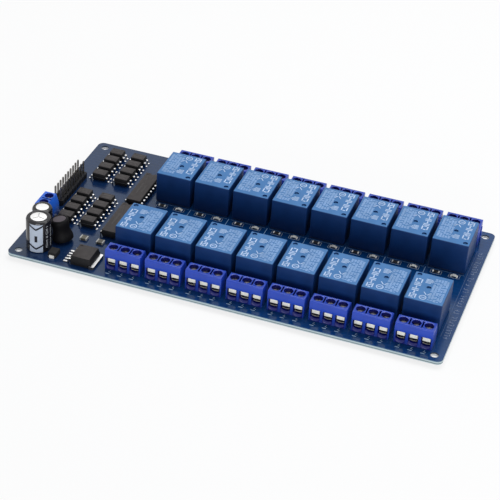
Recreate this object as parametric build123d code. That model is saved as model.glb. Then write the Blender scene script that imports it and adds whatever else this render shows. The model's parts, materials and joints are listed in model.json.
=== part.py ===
from build123d import *
import math
import os

# Relay module board: a blue circuit board with two rows of sealed relays,
# each relay beside its own three-way screw terminal, and the input side at the left end.
# Millimetres. X runs along the rows, +Y points to the back row and +Z is up.
# The origin is the middle of the corner hole pattern, on the board's underside.

# Board
board_thickness = 1.6
board_corner_radius = 2.5
mounting_hole_diameter = 3.2
mounting_hole_inset = 3.75

# Relays, sealed cans that stand on the board
relays_per_row = 8
relay_width = 15.2
relay_length = 19.0
relay_height = 14.0
relay_base_height = 0.5
relay_base_inset = 0.35
relay_side_chamfer = 0.6
relay_top_chamfer = 0.35
relay_pin_spread = 12.0
relay_pin_rows = 12.2
relay_common_offset = 8.0

# Rows: the strip between them, the gap to the terminals, and the free edges
channel_gap = 1.8
strip_width = 25.2
terminal_relay_gap = 3.0
terminal_edge_gap = 5.3
right_margin = 5.4

# Screw terminals, built up from their wells, inlets and walls
terminal_poles = 3
power_poles = 2
well_diameter = 3.7
well_depth = 2.8
well_sides = 8
well_wall = 0.35
well_front_wall = 1.2
well_back_wall = 0.8
power_back_wall = 0.3
groove_width = 0.6
groove_depth = 2.0
shoulder_depth = 1.9
power_shoulder_depth = 1.2
shoulder_drop = 4.2
top_edge_chamfer = 0.3
web_thickness = 0.9
inlet_wall = 1.1
inlet_height = 4.4
inlet_sill = 1.1
inlet_depth = 3.2
inlet_corner = 0.9
rib_width = 1.2
rib_proud = 0.4
rib_height = 7.0
rib_inset = 1.6

# Terminal clamps and screws
clamp_side_gap = 0.4
clamp_setback = 1.0
clamp_jaw_height = 2.3
clamp_tail_height = 1.0
clamp_back_wall = 0.5
screw_side_gap = 0.15
screw_head_height = 1.2

# Pin header, two columns of square pins
header_pitch = 2.54
header_columns = 2
header_rows = 10
header_base_height = 2.4
header_notch = 0.35
header_pin_width = 0.64
header_pin_reach = 8.5
header_pin_point = 0.5

# Optocouplers, in two groups of two columns
opto_rows = 4
opto_length = 6.0
opto_width = 4.4
opto_height = 3.5
opto_standoff = 0.1
opto_draft = 0.3
opto_gap = 1.8
opto_group_gap = 10.55
opto_lead_reach = 1.6
opto_lead_width = 1.0
opto_lead_pitch = 2.54
opto_lead_thickness = 0.22
opto_foot_length = 0.8
opto_front_margin = 29.1
opto_column_gap = 0.85

# Driver chips, dual in line
driver_length = 22.9
driver_width = 6.4
driver_height = 3.1
driver_standoff = 0.4
driver_draft = 0.25
driver_pins_per_side = 9
driver_pitch = 2.54
driver_lead_reach = 0.85
driver_lead_thickness = 0.25
driver_lead_width = 1.3
driver_notch_radius = 0.8
driver_notch_depth = 0.5
driver_opto_gap = 2.5
driver_relay_gap = 2.95
driver_end_gap = 3.1
driver_pair_shift = 2.6

# Electrolytic capacitors, sleeved cans
large_can_diameter = 10.2
large_can_height = 14.4
small_can_diameter = 8.2
small_can_height = 12.0
sleeve_thickness = 0.2
sleeve_lip_height = 0.25
sleeve_shoulder = 0.8
sleeve_shoulder_inset = 0.4
sleeve_lip_share = 0.65
can_sides = 26
large_can_left_gap = 5.1
large_can_front_gap = 4.0
small_can_left_gap = 2.8
can_gap = 1.3
can_pin_spread = 5.0

# Inductor, a drum core in a sleeve that leans to the left on its wire legs
coil_core_diameter = 6.8
coil_foot_diameter = 8.8
coil_waist_diameter = 7.5
coil_rim_diameter = 5.4
coil_height = 9.3
coil_waist_height = 4.2
coil_shoulder_height = 7.9
coil_lip_height = 0.2
coil_sides = 24
coil_lean = 10.0
coil_gap = 1.2
coil_bearing = 49.5
coil_leg_diameter = 0.8
coil_leg_spread = 4.0

# Power diode
diode_length = 4.3
diode_width = 3.4
diode_height = 2.2
diode_draft = 0.15
diode_lead_width = 2.0
diode_lead_height = 1.1
diode_lead_reach = 0.6
diode_gap = 1.3
diode_front_gap = 3.2

# Voltage regulator with five leads and a soldered tab
regulator_length = 8.4
regulator_width = 9.6
regulator_height = 4.1
regulator_draft = 0.35
regulator_tab_reach = 1.4
regulator_tab_width = 10.2
regulator_tab_thickness = 1.2
regulator_leads = 5
regulator_lead_pitch = 1.85
regulator_lead_width = 0.85
regulator_lead_thickness = 0.4
regulator_lead_height = 2.0
regulator_lead_shoulder = 1.0
regulator_lead_drop = 0.7
regulator_foot_length = 1.7
regulator_front_gap = 2.6
regulator_diode_gap = 3.4

# Chip parts
chip_length = 3.0
chip_width = 1.5
resistor_height = 0.5
led_height = 0.8
led_offset = 3.9
resistor_offset = 3.7
chip_relay_gap = 1.8
chip_capacitor_length = 3.0
chip_capacitor_width = 2.6
chip_capacitor_height = 1.0
chip_capacitor_end = 0.5
chip_capacitor_pitch = 7.2
chip_capacitor_shift = 2.8
chip_capacitor_gap = 3.0

# Left column: the power terminal and the header, each with its own gap to the board's edge
power_edge_gap = 1.0
header_edge_gap = 1.42
power_can_gap = 1.0
header_power_gap = 5.4
left_column_opto_gap = 0.2

# Solder joints round the trimmed leads, below the board
joint_width = 1.7
joint_height = 1.6
inner_joint_height = 1.5

# Worked out sizes of the terminals
pole_pitch = well_diameter + groove_width + 2 * well_wall
terminal_height = inlet_sill + inlet_height + web_thickness + well_depth
terminal_top_depth = well_front_wall + well_diameter + well_back_wall
terminal_depth = terminal_top_depth + shoulder_depth
terminal_width = terminal_poles * pole_pitch
power_top_depth = well_front_wall + well_diameter + power_back_wall
power_depth = power_top_depth + power_shoulder_depth
power_width = power_poles * pole_pitch
inlet_top = inlet_sill + inlet_height
inlet_width = pole_pitch - inlet_wall
well_centre = well_front_wall + well_diameter / 2
screw_diameter = well_diameter - 2 * screw_side_gap

# Worked out sizes of the rows and the left end
channel_pitch = max(relay_width, terminal_width) + channel_gap
opto_span = opto_length + 2 * opto_lead_reach
opto_pitch = opto_width + opto_gap
driver_span = driver_width + 2 * driver_lead_reach
header_width = header_columns * header_pitch
header_length = header_rows * header_pitch
left_column = max(power_edge_gap + power_depth, header_edge_gap + header_width)
input_length = left_column + left_column_opto_gap + 2 * opto_span + opto_column_gap
input_length += driver_opto_gap + driver_span + driver_relay_gap
row_length = (relays_per_row - 1) * channel_pitch + relay_width
board_length = input_length + row_length + right_margin
row_depth = relay_length + terminal_relay_gap + terminal_depth + terminal_edge_gap
board_width = strip_width + 2 * row_depth

# Worked out places, from the left and front edges of the board
left = -board_length / 2
front = -board_width / 2
top = board_thickness
opto_columns = [left + left_column + left_column_opto_gap + opto_span / 2]
opto_columns.append(opto_columns[0] + opto_span + opto_column_gap)
driver_x = opto_columns[1] + opto_span / 2 + driver_opto_gap + driver_span / 2
relay_x = driver_x + driver_span / 2 + driver_relay_gap + relay_width / 2
channels = [relay_x + channel * channel_pitch for channel in range(relays_per_row)]
relay_y = strip_width / 2 + relay_length / 2
terminal_y = strip_width / 2 + relay_length + terminal_relay_gap + terminal_depth
driver_y = driver_pair_shift - driver_end_gap / 2 - driver_length / 2
driver_places = [driver_y, driver_y + driver_length + driver_end_gap]
first_opto_y = front + opto_front_margin + opto_width / 2
group_step = opto_rows * opto_pitch + opto_group_gap
large_can_x = left + large_can_left_gap + large_can_diameter / 2
large_can_y = front + large_can_front_gap + large_can_diameter / 2
small_can_x = left + small_can_left_gap + small_can_diameter / 2
small_can_y = large_can_y + large_can_diameter / 2 + can_gap + small_can_diameter / 2
power_x = left + power_edge_gap
power_y = small_can_y + small_can_diameter / 2 + power_can_gap + power_width / 2
header_x = left + header_edge_gap + header_width / 2
header_y = power_y + power_width / 2 + header_power_gap + header_length / 2
coil_distance = large_can_diameter / 2 + coil_gap + coil_foot_diameter / 2
coil_x = large_can_x + coil_distance * math.cos(math.radians(coil_bearing))
coil_y = large_can_y + coil_distance * math.sin(math.radians(coil_bearing))
diode_x = large_can_x + large_can_diameter / 2 + diode_gap + diode_width / 2
diode_y = front + diode_front_gap + diode_lead_reach + diode_length / 2
regulator_lead_reach = regulator_lead_shoulder + regulator_lead_drop + regulator_foot_length
regulator_x = diode_x + diode_width / 2 + regulator_diode_gap
regulator_x += regulator_lead_reach + regulator_length / 2
regulator_y = front + regulator_front_gap + regulator_width / 2
chip_capacitor_y = driver_y - driver_length / 2 - chip_capacitor_gap - chip_capacitor_width / 2


def block(length, width, height):
    """A block that stands on its own base plane, centred in X and Y."""
    return Pos(0, 0, height / 2) * Box(length, width, height)


def profile_along_x(points, width):
    """A closed outline of (y, z) points, drawn out along X and centred on it."""
    return extrude(make_face(Plane.YZ * Polyline(*points, close=True)), width / 2, both=True)


def profile_along_y(points, width):
    """A closed outline of (x, z) points, drawn out along Y and centred on it."""
    return extrude(make_face(Plane.XZ * Polyline(*points, close=True)), width / 2, both=True)


def drawn_in(outline, height, inset):
    """A body on a straight-sided outline that narrows evenly by an inset towards its top."""
    return extrude(outline, height, taper=math.degrees(math.atan2(inset, height)))


def centred(count, pitch):
    """Evenly spaced places about zero."""
    return [(index - (count - 1) / 2) * pitch for index in range(count)]


def save(name, *pieces):
    """Writes one node, either a single solid or a group of separate ones."""
    solids = [solid for piece in pieces for solid in piece.solids()]
    shape = solids[0] if len(solids) == 1 else Compound(solids)
    export_step(shape, f"parts/{name}.step")


def row_places(x, y):
    """The same place in the front row and, turned half round, in the back row."""
    return [Pos(x, -y, top), Pos(x, y, top) * Rot(0, 0, 180)]


def circuit_board():
    """The bare board with its four corner holes."""
    outline = RectangleRounded(board_length, board_width, board_corner_radius)
    hole = Circle(mounting_hole_diameter / 2)
    for x in (left + mounting_hole_inset, -left - mounting_hole_inset):
        for y in (front + mounting_hole_inset, -front - mounting_hole_inset):
            outline -= Pos(x, y) * hole
    return extrude(outline, board_thickness)


def relay_cover():
    """The moulded cover, with its bevelled edges."""
    cover = Pos(0, 0, relay_base_height) * block(
        relay_width, relay_length, relay_height - relay_base_height
    )
    cover = chamfer(cover.edges().filter_by(Axis.Z), relay_side_chamfer)
    return chamfer(cover.faces().sort_by(Axis.Z)[-1].edges(), relay_top_chamfer)


def relay_base():
    """The base plate, set in a little all round under the cover."""
    inset = 2 * relay_base_inset
    return block(relay_width - inset, relay_length - inset, relay_base_height)


def relay_pins():
    """Places of the five pins: common and coil at one end, the two contacts at the other."""
    end = relay_pin_rows / 2
    side = relay_pin_spread / 2
    return [(0, -relay_common_offset), (-side, -end), (side, -end), (-side, end), (side, end)]


def terminal_housing(poles, top_depth, depth):
    """A terminal block, its wire face on the plane y = 0 and looking along -Y."""
    outline = [
        (0, 0),
        (0, terminal_height - top_edge_chamfer),
        (top_edge_chamfer, terminal_height),
        (top_depth, terminal_height),
        (depth, terminal_height - shoulder_drop),
        (depth, 0),
    ]
    housing = profile_along_x(outline, poles * pole_pitch)
    rib = Pos(-(poles * pole_pitch + rib_proud) / 2, rib_inset + rib_width / 2) * block(
        rib_proud, rib_width, rib_height
    )
    housing += rib
    well = extrude(RegularPolygon(well_diameter / 2, well_sides), well_depth)
    inlet = Polyline(
        (-inlet_width / 2, inlet_top),
        (-inlet_width / 2, inlet_sill + inlet_corner),
        (-inlet_width / 2 + inlet_corner, inlet_sill),
        (inlet_width / 2 - inlet_corner, inlet_sill),
        (inlet_width / 2, inlet_sill + inlet_corner),
        (inlet_width / 2, inlet_top),
        close=True,
    )
    inlet = extrude(make_face(Plane.XZ * inlet), -inlet_depth)
    groove = Pos(0, well_centre, terminal_height - groove_depth) * block(
        groove_width, well_diameter, groove_depth
    )
    for x in centred(poles, pole_pitch):
        housing -= Pos(x, well_centre, terminal_height - well_depth) * well
        housing -= Pos(x, 0, 0) * inlet
    for x in centred(poles - 1, pole_pitch):
        housing -= Pos(x, 0, 0) * groove
    return housing


def terminal_clamps(poles):
    """The wire clamps, against the back and the roof of each inlet, a jaw with its tail."""
    jaw_bottom = inlet_top - clamp_jaw_height
    tail_bottom = jaw_bottom - clamp_tail_height
    tail_front = inlet_depth - clamp_back_wall
    outline = [
        (clamp_setback, inlet_top),
        (clamp_setback, jaw_bottom),
        (tail_front, jaw_bottom),
        (tail_front, tail_bottom),
        (inlet_depth, tail_bottom),
        (inlet_depth, inlet_top),
    ]
    clamp = profile_along_x(outline, inlet_width - 2 * clamp_side_gap)
    return [Pos(x, 0, 0) * clamp for x in centred(poles, pole_pitch)]


def terminal_screws(poles):
    """The screw heads, seated on the floors of the wells."""
    head = extrude(RegularPolygon(screw_diameter / 2, well_sides), screw_head_height)
    place = Pos(0, well_centre, terminal_height - well_depth)
    return [place * Pos(x, 0, 0) * head for x in centred(poles, pole_pitch)]


def header_base():
    """The black carrier of the pins, notched between one pair and the next."""
    side = header_width / 2
    edge = []
    for y in centred(header_rows, header_pitch):
        edge.append((side - header_notch, y - header_pitch / 2))
        edge.append((side, y - header_pitch / 2 + header_notch))
        edge.append((side, y + header_pitch / 2 - header_notch))
    edge.append((side - header_notch, header_length / 2))
    outline = edge + [(-x, -y) for x, y in edge]
    return extrude(make_face(Polyline(*outline, close=True)), header_base_height)


def header_pin():
    """One square pin above the carrier, with a pointed tip."""
    shank = block(header_pin_width, header_pin_width, header_pin_reach - header_base_height)
    tip = shank.faces().sort_by(Axis.Z)[-1].edges()
    return chamfer(tip, header_pin_point, header_pin_width / 4)


def header_pins():
    """Places of all the pins."""
    places = []
    for x in centred(header_columns, header_pitch):
        places += [(x, y) for y in centred(header_rows, header_pitch)]
    return places


def drafted_body(length, width, bottom, height, draft):
    """A moulded chip body, widest at half height, where its lead frame leaves it."""
    middle = bottom + height / 2
    side = length / 2
    outline = [
        (draft - side, bottom),
        (-side, middle),
        (draft - side, bottom + height),
        (side - draft, bottom + height),
        (side, middle),
        (side - draft, bottom),
    ]
    return profile_along_y(outline, width)


def opto_body():
    """The body of one optocoupler, with its long side along X."""
    return drafted_body(
        opto_length, opto_width, opto_standoff, opto_height - opto_standoff, opto_draft
    )


def opto_leads():
    """The four formed leads of one optocoupler."""
    root = opto_length / 2
    reach = root + opto_lead_reach
    exit_top = opto_standoff + (opto_height - opto_standoff) / 2
    knee = root + (opto_lead_reach - opto_foot_length) / 2
    outline = [
        (root, exit_top),
        (knee, exit_top),
        (reach - opto_foot_length, opto_lead_thickness),
        (reach, opto_lead_thickness),
        (reach, 0),
        (knee, 0),
    ]
    lead = profile_along_y(outline, opto_lead_width)
    pair = [Pos(0, y, 0) * lead for y in centred(2, opto_lead_pitch)]
    return pair + [Rot(0, 0, 180) * lead for lead in pair]


def opto_places():
    """Places of the optocouplers: a front and a back group, each of two columns."""
    places = []
    for group_y in (first_opto_y, first_opto_y + group_step):
        for x in opto_columns:
            places += [Pos(x, group_y + row * opto_pitch, top) for row in range(opto_rows)]
    return places


def driver_body():
    """The body of one driver chip, with the half round notch that marks its first pin."""
    body = drafted_body(
        driver_width, driver_length, driver_standoff, driver_height, driver_draft
    )
    notch = Pos(0, driver_length / 2, driver_standoff + driver_height - driver_notch_depth) * extrude(
        Circle(driver_notch_radius), driver_notch_depth
    )
    return body - notch


def driver_lead_row():
    """The leads of one side, bent down to the board."""
    root = driver_width / 2
    reach = root + driver_lead_reach
    shoulder = driver_standoff + driver_height / 2 + driver_lead_thickness / 2
    outline = [
        (root, shoulder),
        (reach, shoulder),
        (reach, 0),
        (reach - driver_lead_thickness, 0),
        (reach - driver_lead_thickness, shoulder - driver_lead_thickness),
        (root, shoulder - driver_lead_thickness),
    ]
    lead = profile_along_y(outline, driver_lead_width)
    return [Pos(0, y, 0) * lead for y in centred(driver_pins_per_side, driver_pitch)]


def can_and_sleeve(diameter, height):
    """A capacitor's aluminium can, and the sleeve that is shrunk over its side and rim."""
    outer = RegularPolygon(diameter / 2, can_sides)
    inner = RegularPolygon(diameter / 2 - sleeve_thickness, can_sides)
    lip = RegularPolygon(diameter / 2 * sleeve_lip_share, can_sides)
    shoulder = Pos(0, 0, height - sleeve_shoulder)
    can_rise = sleeve_shoulder - sleeve_lip_height
    can_inset = sleeve_shoulder_inset * can_rise / sleeve_shoulder
    can = extrude(inner, height - sleeve_shoulder)
    can += shoulder * drawn_in(inner, can_rise, can_inset)
    sleeve = extrude(outer, height - sleeve_shoulder)
    sleeve += shoulder * drawn_in(outer, sleeve_shoulder, sleeve_shoulder_inset)
    sleeve -= extrude(lip, height)
    return can, sleeve - can


def coil_place():
    """The leaning pose of the inductor: it stands on the left edge of its foot."""
    foot = coil_foot_diameter / 2
    return Pos(coil_x - foot, coil_y, top) * Rot(0, -coil_lean, 0) * Pos(foot, 0, 0)


def coil():
    """The drum core and its sleeve, upright."""
    foot = RegularPolygon(coil_foot_diameter / 2, coil_sides)
    waist = RegularPolygon(coil_waist_diameter / 2, coil_sides)
    rim = RegularPolygon(coil_rim_diameter / 2, coil_sides)
    core = RegularPolygon(coil_core_diameter / 2, coil_sides)
    core = extrude(core, coil_height - coil_lip_height)
    sleeve = drawn_in(foot, coil_waist_height, (coil_foot_diameter - coil_waist_diameter) / 2)
    sleeve += Pos(0, 0, coil_waist_height) * extrude(waist, coil_shoulder_height - coil_waist_height)
    sleeve += Pos(0, 0, coil_shoulder_height) * drawn_in(
        waist, coil_height - coil_shoulder_height, (coil_waist_diameter - coil_core_diameter) / 2
    )
    sleeve -= extrude(rim, coil_height)
    return core, sleeve - core


def coil_legs(core):
    """Two wires that run up from the board to the underside of the leaning core."""
    reach = coil_core_diameter * math.sin(math.radians(coil_lean)) + joint_height
    legs = []
    for y in centred(2, coil_leg_spread):
        leg = Pos(coil_x, coil_y + y, top) * extrude(RegularPolygon(coil_leg_diameter / 2, 6), reach)
        legs.append((leg - core).solids().sort_by(Axis.Z)[0])
    return legs


def diode_body():
    """The diode, with its long side along Y."""
    return Rot(0, 0, 90) * drafted_body(diode_length, diode_width, 0, diode_height, diode_draft)


def diode_leads():
    """The strip leads that wrap down from both ends to the board."""
    root = diode_length / 2
    lead = Pos(root, 0, 0) * block(2 * diode_lead_reach, diode_lead_width, diode_lead_height)
    lead = Rot(0, 0, 90) * lead - diode_body()
    return [lead, Rot(0, 0, 180) * lead]


def regulator_body():
    """The regulator's moulded body, drawn in towards its top."""
    base = Rectangle(regulator_length, regulator_width)
    return drawn_in(base, regulator_height, regulator_draft)


def regulator_frame():
    """The tab on the right of the body and the five leads on its left."""
    root = regulator_length / 2
    tab = Pos(root + regulator_tab_reach / 2, 0, 0) * block(
        regulator_tab_reach + 2 * regulator_draft, regulator_tab_width, regulator_tab_thickness
    )
    tab = chamfer(tab.edges().filter_by(Axis.Z).sort_by(Axis.X)[-2:], regulator_draft)
    knee = root + regulator_lead_shoulder
    ankle = knee + regulator_lead_drop
    toe = root + regulator_lead_reach
    high = regulator_lead_height
    low = regulator_lead_height - regulator_lead_thickness
    outline = [
        (regulator_draft - root, high),
        (-knee, high),
        (-ankle, regulator_lead_thickness),
        (-toe, regulator_lead_thickness),
        (-toe, 0),
        (regulator_lead_thickness - ankle, 0),
        (regulator_lead_thickness - knee, low),
        (regulator_draft - root, low),
    ]
    lead = profile_along_y(outline, regulator_lead_width)
    leads = [Pos(0, y, 0) * lead for y in centred(regulator_leads, regulator_lead_pitch)]
    return [piece - regulator_body() for piece in [tab] + leads]


def channel_chips(offset, height):
    """One chip part for each relay, in the strip between the rows."""
    chip = block(chip_length, chip_width, height)
    place_y = strip_width / 2 - chip_relay_gap - chip_width / 2
    chips = []
    for x in channels:
        chips.append(Pos(x - offset, -place_y, top) * chip)
        chips.append(Pos(x + offset, place_y, top) * chip)
    return chips


def chip_capacitors():
    """The two larger chip capacitors behind the regulator, as bodies and end caps."""
    half = chip_capacitor_length / 2
    body = block(
        chip_capacitor_length - 2 * chip_capacitor_end, chip_capacitor_width, chip_capacitor_height
    )
    cap = block(chip_capacitor_end, chip_capacitor_width, chip_capacitor_height)
    bodies = []
    ends = []
    for offset in centred(2, chip_capacitor_pitch):
        place = Pos(regulator_x - chip_capacitor_shift + offset, chip_capacitor_y, top)
        bodies.append(place * body)
        for side in (-1, 1):
            ends.append(place * Pos(side * (half - chip_capacitor_end / 2), 0, 0) * cap)
    return bodies, ends


def solder_joint(height):
    """A solder joint below the board, drawn down to the end of its trimmed lead."""
    middle = joint_width / 2
    joint = Wedge(joint_width, height, joint_width, middle, middle, middle, middle)
    return Pos(0, 0, -height / 2) * Rot(-90, 0, 0) * joint


def row_joint_places(y, local_places):
    """Places below the board of pins that repeat in every channel of both rows."""
    places = []
    for x in channels:
        for px, py in local_places:
            places.append((x + px, -y + py))
            places.append((x - px, y - py))
    return places


def terminal_joint_places():
    """Places of the pins of all the screw terminals."""
    pins = [(x, well_centre) for x in centred(terminal_poles, pole_pitch)]
    places = row_joint_places(terminal_y, pins)
    return places + [(power_x + well_centre, power_y + y) for y in centred(power_poles, pole_pitch)]


def inner_joint_places():
    """Places of the pins of everything else that passes through the board."""
    places = row_joint_places(relay_y, relay_pins())
    places += [(header_x + x, header_y + y) for x, y in header_pins()]
    row = (driver_span - driver_lead_thickness) / 2
    for y in driver_places:
        for pin in centred(driver_pins_per_side, driver_pitch):
            places += [(driver_x - row, y + pin), (driver_x + row, y + pin)]
    for x, y in ((large_can_x, large_can_y), (small_can_x, small_can_y)):
        places += [(x, y + pin) for pin in centred(2, can_pin_spread)]
    places += [(coil_x, coil_y + pin) for pin in centred(2, coil_leg_spread)]
    return places


def save_rows():
    """Relays and screw terminals: the front row, the back row and the power terminal."""
    cover = relay_cover()
    base = relay_base()
    housing = terminal_housing(terminal_poles, terminal_top_depth, terminal_depth)
    clamps = terminal_clamps(terminal_poles)
    screws = terminal_screws(terminal_poles)
    power_place = Pos(power_x, power_y, top) * Rot(0, 0, -90)
    power_housing = terminal_housing(power_poles, power_top_depth, power_depth)
    save("power_terminal_housing", power_place * power_housing)
    all_bases = []
    all_clamps = [power_place * clamp for clamp in terminal_clamps(power_poles)]
    all_screws = [power_place * screw for screw in terminal_screws(power_poles)]
    for channel, x in enumerate(channels):
        relay_row = row_places(x, relay_y)
        terminal_row = row_places(x, terminal_y)
        for row in range(2):
            number = 1 + channel + row * relays_per_row
            save(f"relay_{number:02d}", relay_row[row] * cover)
            save(f"terminal_housing_{number:02d}", terminal_row[row] * housing)
            all_bases.append(relay_row[row] * base)
            all_clamps += [terminal_row[row] * clamp for clamp in clamps]
            all_screws += [terminal_row[row] * screw for screw in screws]
    save("relay_bases", *all_bases)
    save("terminal_clamps", *all_clamps)
    save("terminal_screws", *all_screws)


def save_input_side():
    """Header, optocouplers and driver chips."""
    header_place = Pos(header_x, header_y, top)
    pin = header_pin()
    pins = [header_place * Pos(x, y, header_base_height) * pin for x, y in header_pins()]
    save("header_base", header_place * header_base())
    save("header_pins", *pins)

    body = opto_body()
    leads = opto_leads()
    places = opto_places()
    save("optocouplers", *[place * body for place in places])
    save("optocoupler_leads", *[place * lead for place in places for lead in leads])

    driver = driver_body()
    row = driver_lead_row()
    rows = row + [Rot(0, 0, 180) * lead for lead in row]
    places = [Pos(driver_x, y, top) for y in driver_places]
    save("driver_chips", *[place * driver for place in places])
    save("driver_chip_leads", *[place * lead for place in places for lead in rows])


def save_power_side():
    """Capacitors, inductor, diode, regulator and the chip parts."""
    for name, x, y, diameter, height in (
        ("large", large_can_x, large_can_y, large_can_diameter, large_can_height),
        ("small", small_can_x, small_can_y, small_can_diameter, small_can_height),
    ):
        can, sleeve = can_and_sleeve(diameter, height)
        save(f"capacitor_{name}_can", Pos(x, y, top) * can)
        save(f"capacitor_{name}_sleeve", Pos(x, y, top) * sleeve)

    core, sleeve = coil()
    core = coil_place() * core
    save("inductor_core", core)
    save("inductor_sleeve", coil_place() * sleeve)
    save("inductor_legs", *coil_legs(core))

    diode_place = Pos(diode_x, diode_y, top)
    save("diode_body", diode_place * diode_body())
    save("diode_leads", *[diode_place * lead for lead in diode_leads()])

    regulator_place = Pos(regulator_x, regulator_y, top)
    save("regulator_body", regulator_place * regulator_body())
    save("regulator_frame", *[regulator_place * piece for piece in regulator_frame()])

    bodies, ends = chip_capacitors()
    save("chip_capacitors", *bodies)
    save("chip_capacitor_ends", *ends)
    save("channel_resistors", *channel_chips(-resistor_offset, resistor_height))
    save("channel_leds", *channel_chips(led_offset, led_height))


def save_joints():
    """The solder joints, those of the screw terminals and all the others."""
    outer = solder_joint(joint_height)
    inner = solder_joint(inner_joint_height)
    save("terminal_joints", *[Pos(x, y, 0) * outer for x, y in terminal_joint_places()])
    save("inner_joints", *[Pos(x, y, 0) * inner for x, y in inner_joint_places()])


os.makedirs("parts", exist_ok=True)
save("circuit_board", circuit_board())
save_rows()
save_input_side()
save_power_side()
save_joints()
print(f"board {board_length:.2f} x {board_width:.2f}, first relay at {relay_x:.2f}")
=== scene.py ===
import json
import math
import random

import bmesh
import bpy
from mathutils import Matrix, Vector


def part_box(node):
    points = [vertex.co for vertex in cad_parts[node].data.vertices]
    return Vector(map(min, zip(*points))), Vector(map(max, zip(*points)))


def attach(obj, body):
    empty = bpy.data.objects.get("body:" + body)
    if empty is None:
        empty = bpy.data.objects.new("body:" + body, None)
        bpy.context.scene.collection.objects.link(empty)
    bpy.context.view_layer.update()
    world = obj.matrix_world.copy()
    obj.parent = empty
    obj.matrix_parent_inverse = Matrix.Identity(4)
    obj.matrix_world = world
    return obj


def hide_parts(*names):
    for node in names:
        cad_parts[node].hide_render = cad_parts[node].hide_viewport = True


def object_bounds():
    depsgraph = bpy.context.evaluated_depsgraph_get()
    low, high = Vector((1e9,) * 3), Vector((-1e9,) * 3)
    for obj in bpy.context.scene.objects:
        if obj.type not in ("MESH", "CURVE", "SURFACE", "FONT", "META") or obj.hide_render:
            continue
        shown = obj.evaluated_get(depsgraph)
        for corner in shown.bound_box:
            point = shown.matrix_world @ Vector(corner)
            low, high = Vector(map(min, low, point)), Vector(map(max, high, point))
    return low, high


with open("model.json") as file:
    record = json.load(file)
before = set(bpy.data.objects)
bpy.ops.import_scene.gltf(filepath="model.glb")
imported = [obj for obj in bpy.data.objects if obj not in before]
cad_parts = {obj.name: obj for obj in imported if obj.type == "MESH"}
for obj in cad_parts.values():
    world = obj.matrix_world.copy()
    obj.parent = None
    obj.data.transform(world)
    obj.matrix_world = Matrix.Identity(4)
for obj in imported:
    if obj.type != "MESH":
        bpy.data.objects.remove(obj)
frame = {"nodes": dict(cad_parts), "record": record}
cad_low, cad_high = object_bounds()
nodes = frame["nodes"]

# All lengths below are millimetres, and metre is what turns one into the scene's metres.
metre = 0.001
board_low, board_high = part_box("circuit_board")
board_top = board_high.z / metre
board_thickness = (board_high.z - board_low.z) / metre
board_length = (board_high.x - board_low.x) / metre
board_width = (board_high.y - board_low.y) / metre
floor_level = cad_low.z / metre

# The photograph's camera, fitted to the board: its aim is a point of the board's top face
photo_size = 500.0
focal_pixels = 1696.94
sensor_width = 36.0
camera_distance = 691.24
camera_azimuth = 16.967
camera_elevation = 34.107
camera_roll = 4.066
camera_target = (-0.816, -5.947)
camera_range = (10.0, 10000.0)

# The background, the floor and the lamps, each lamp with its place, width, depth and watts
world_light = 0.36
world_colour = (0.93, 0.96, 1.0, 1.0)
floor_size = 3000.0
floor_glow = 0.8
floor_colour = (0.9, 0.9, 0.9, 1.0)
lamps = {
    "key": ((60, 260, 760), 600, 420, 4.0),
    "right": ((700, -40, 260), 300, 500, 1.0),
    "left": ((-700, -60, 260), 300, 500, 0.4),
    "front": ((160, -760, 170), 500, 260, 2.6),
}


def add_camera():
    """Sets the camera at the photograph's viewing angle."""
    azimuth = math.radians(camera_azimuth)
    elevation = math.radians(camera_elevation)
    roll = math.radians(camera_roll)
    across = math.cos(elevation)
    back = Vector((math.sin(azimuth) * across, -math.cos(azimuth) * across, math.sin(elevation)))
    level = (-back).cross(Vector((0, 0, 1))).normalized()
    upright = level.cross(-back)
    right = level * math.cos(roll) + upright * math.sin(roll)
    up = upright * math.cos(roll) - level * math.sin(roll)
    target = Vector((*camera_target, board_top))
    data = bpy.data.cameras.new("camera")
    data.sensor_width = sensor_width
    data.lens = focal_pixels / photo_size * sensor_width
    data.clip_start, data.clip_end = (reach * metre for reach in camera_range)
    camera = bpy.data.objects.new("camera", data)
    bpy.context.scene.collection.objects.link(camera)
    turn = Matrix((right, up, back)).transposed().to_4x4()
    camera.matrix_world = Matrix.Translation((target + back * camera_distance) * metre) @ turn
    bpy.context.scene.camera = camera


def background_rays(tree):
    """One where a camera, glossy or transmission ray looks, so that it sees the pale background."""
    path = tree.nodes.new("ShaderNodeLightPath")
    total = path.outputs["Is Camera Ray"]
    for name in ("Is Glossy Ray", "Is Transmission Ray"):
        add = tree.nodes.new("ShaderNodeMath")
        add.operation = "MAXIMUM"
        tree.links.new(total, add.inputs[0])
        tree.links.new(path.outputs[name], add.inputs[1])
        total = add.outputs[0]
    return total


def mix_shaders(tree, share, first, second, output):
    """Sends a mix of two shaders to the tree's output."""
    mix = tree.nodes.new("ShaderNodeMixShader")
    out = tree.nodes.new(output)
    tree.links.new(share, mix.inputs["Fac"])
    tree.links.new(first.outputs[0], mix.inputs[1])
    tree.links.new(second.outputs[0], mix.inputs[2])
    tree.links.new(mix.outputs[0], out.inputs["Surface"])


def add_world():
    """A white background that lights the board only softly."""
    world = bpy.data.worlds.new("studio")
    bpy.context.scene.world = world
    world.use_nodes = True
    tree = world.node_tree
    tree.nodes.clear()
    seen = tree.nodes.new("ShaderNodeBackground")
    seen.inputs["Color"].default_value = (1, 1, 1, 1)
    soft = tree.nodes.new("ShaderNodeBackground")
    soft.inputs["Color"].default_value = world_colour
    soft.inputs["Strength"].default_value = world_light
    mix_shaders(tree, background_rays(tree), soft, seen, "ShaderNodeOutputWorld")


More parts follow.
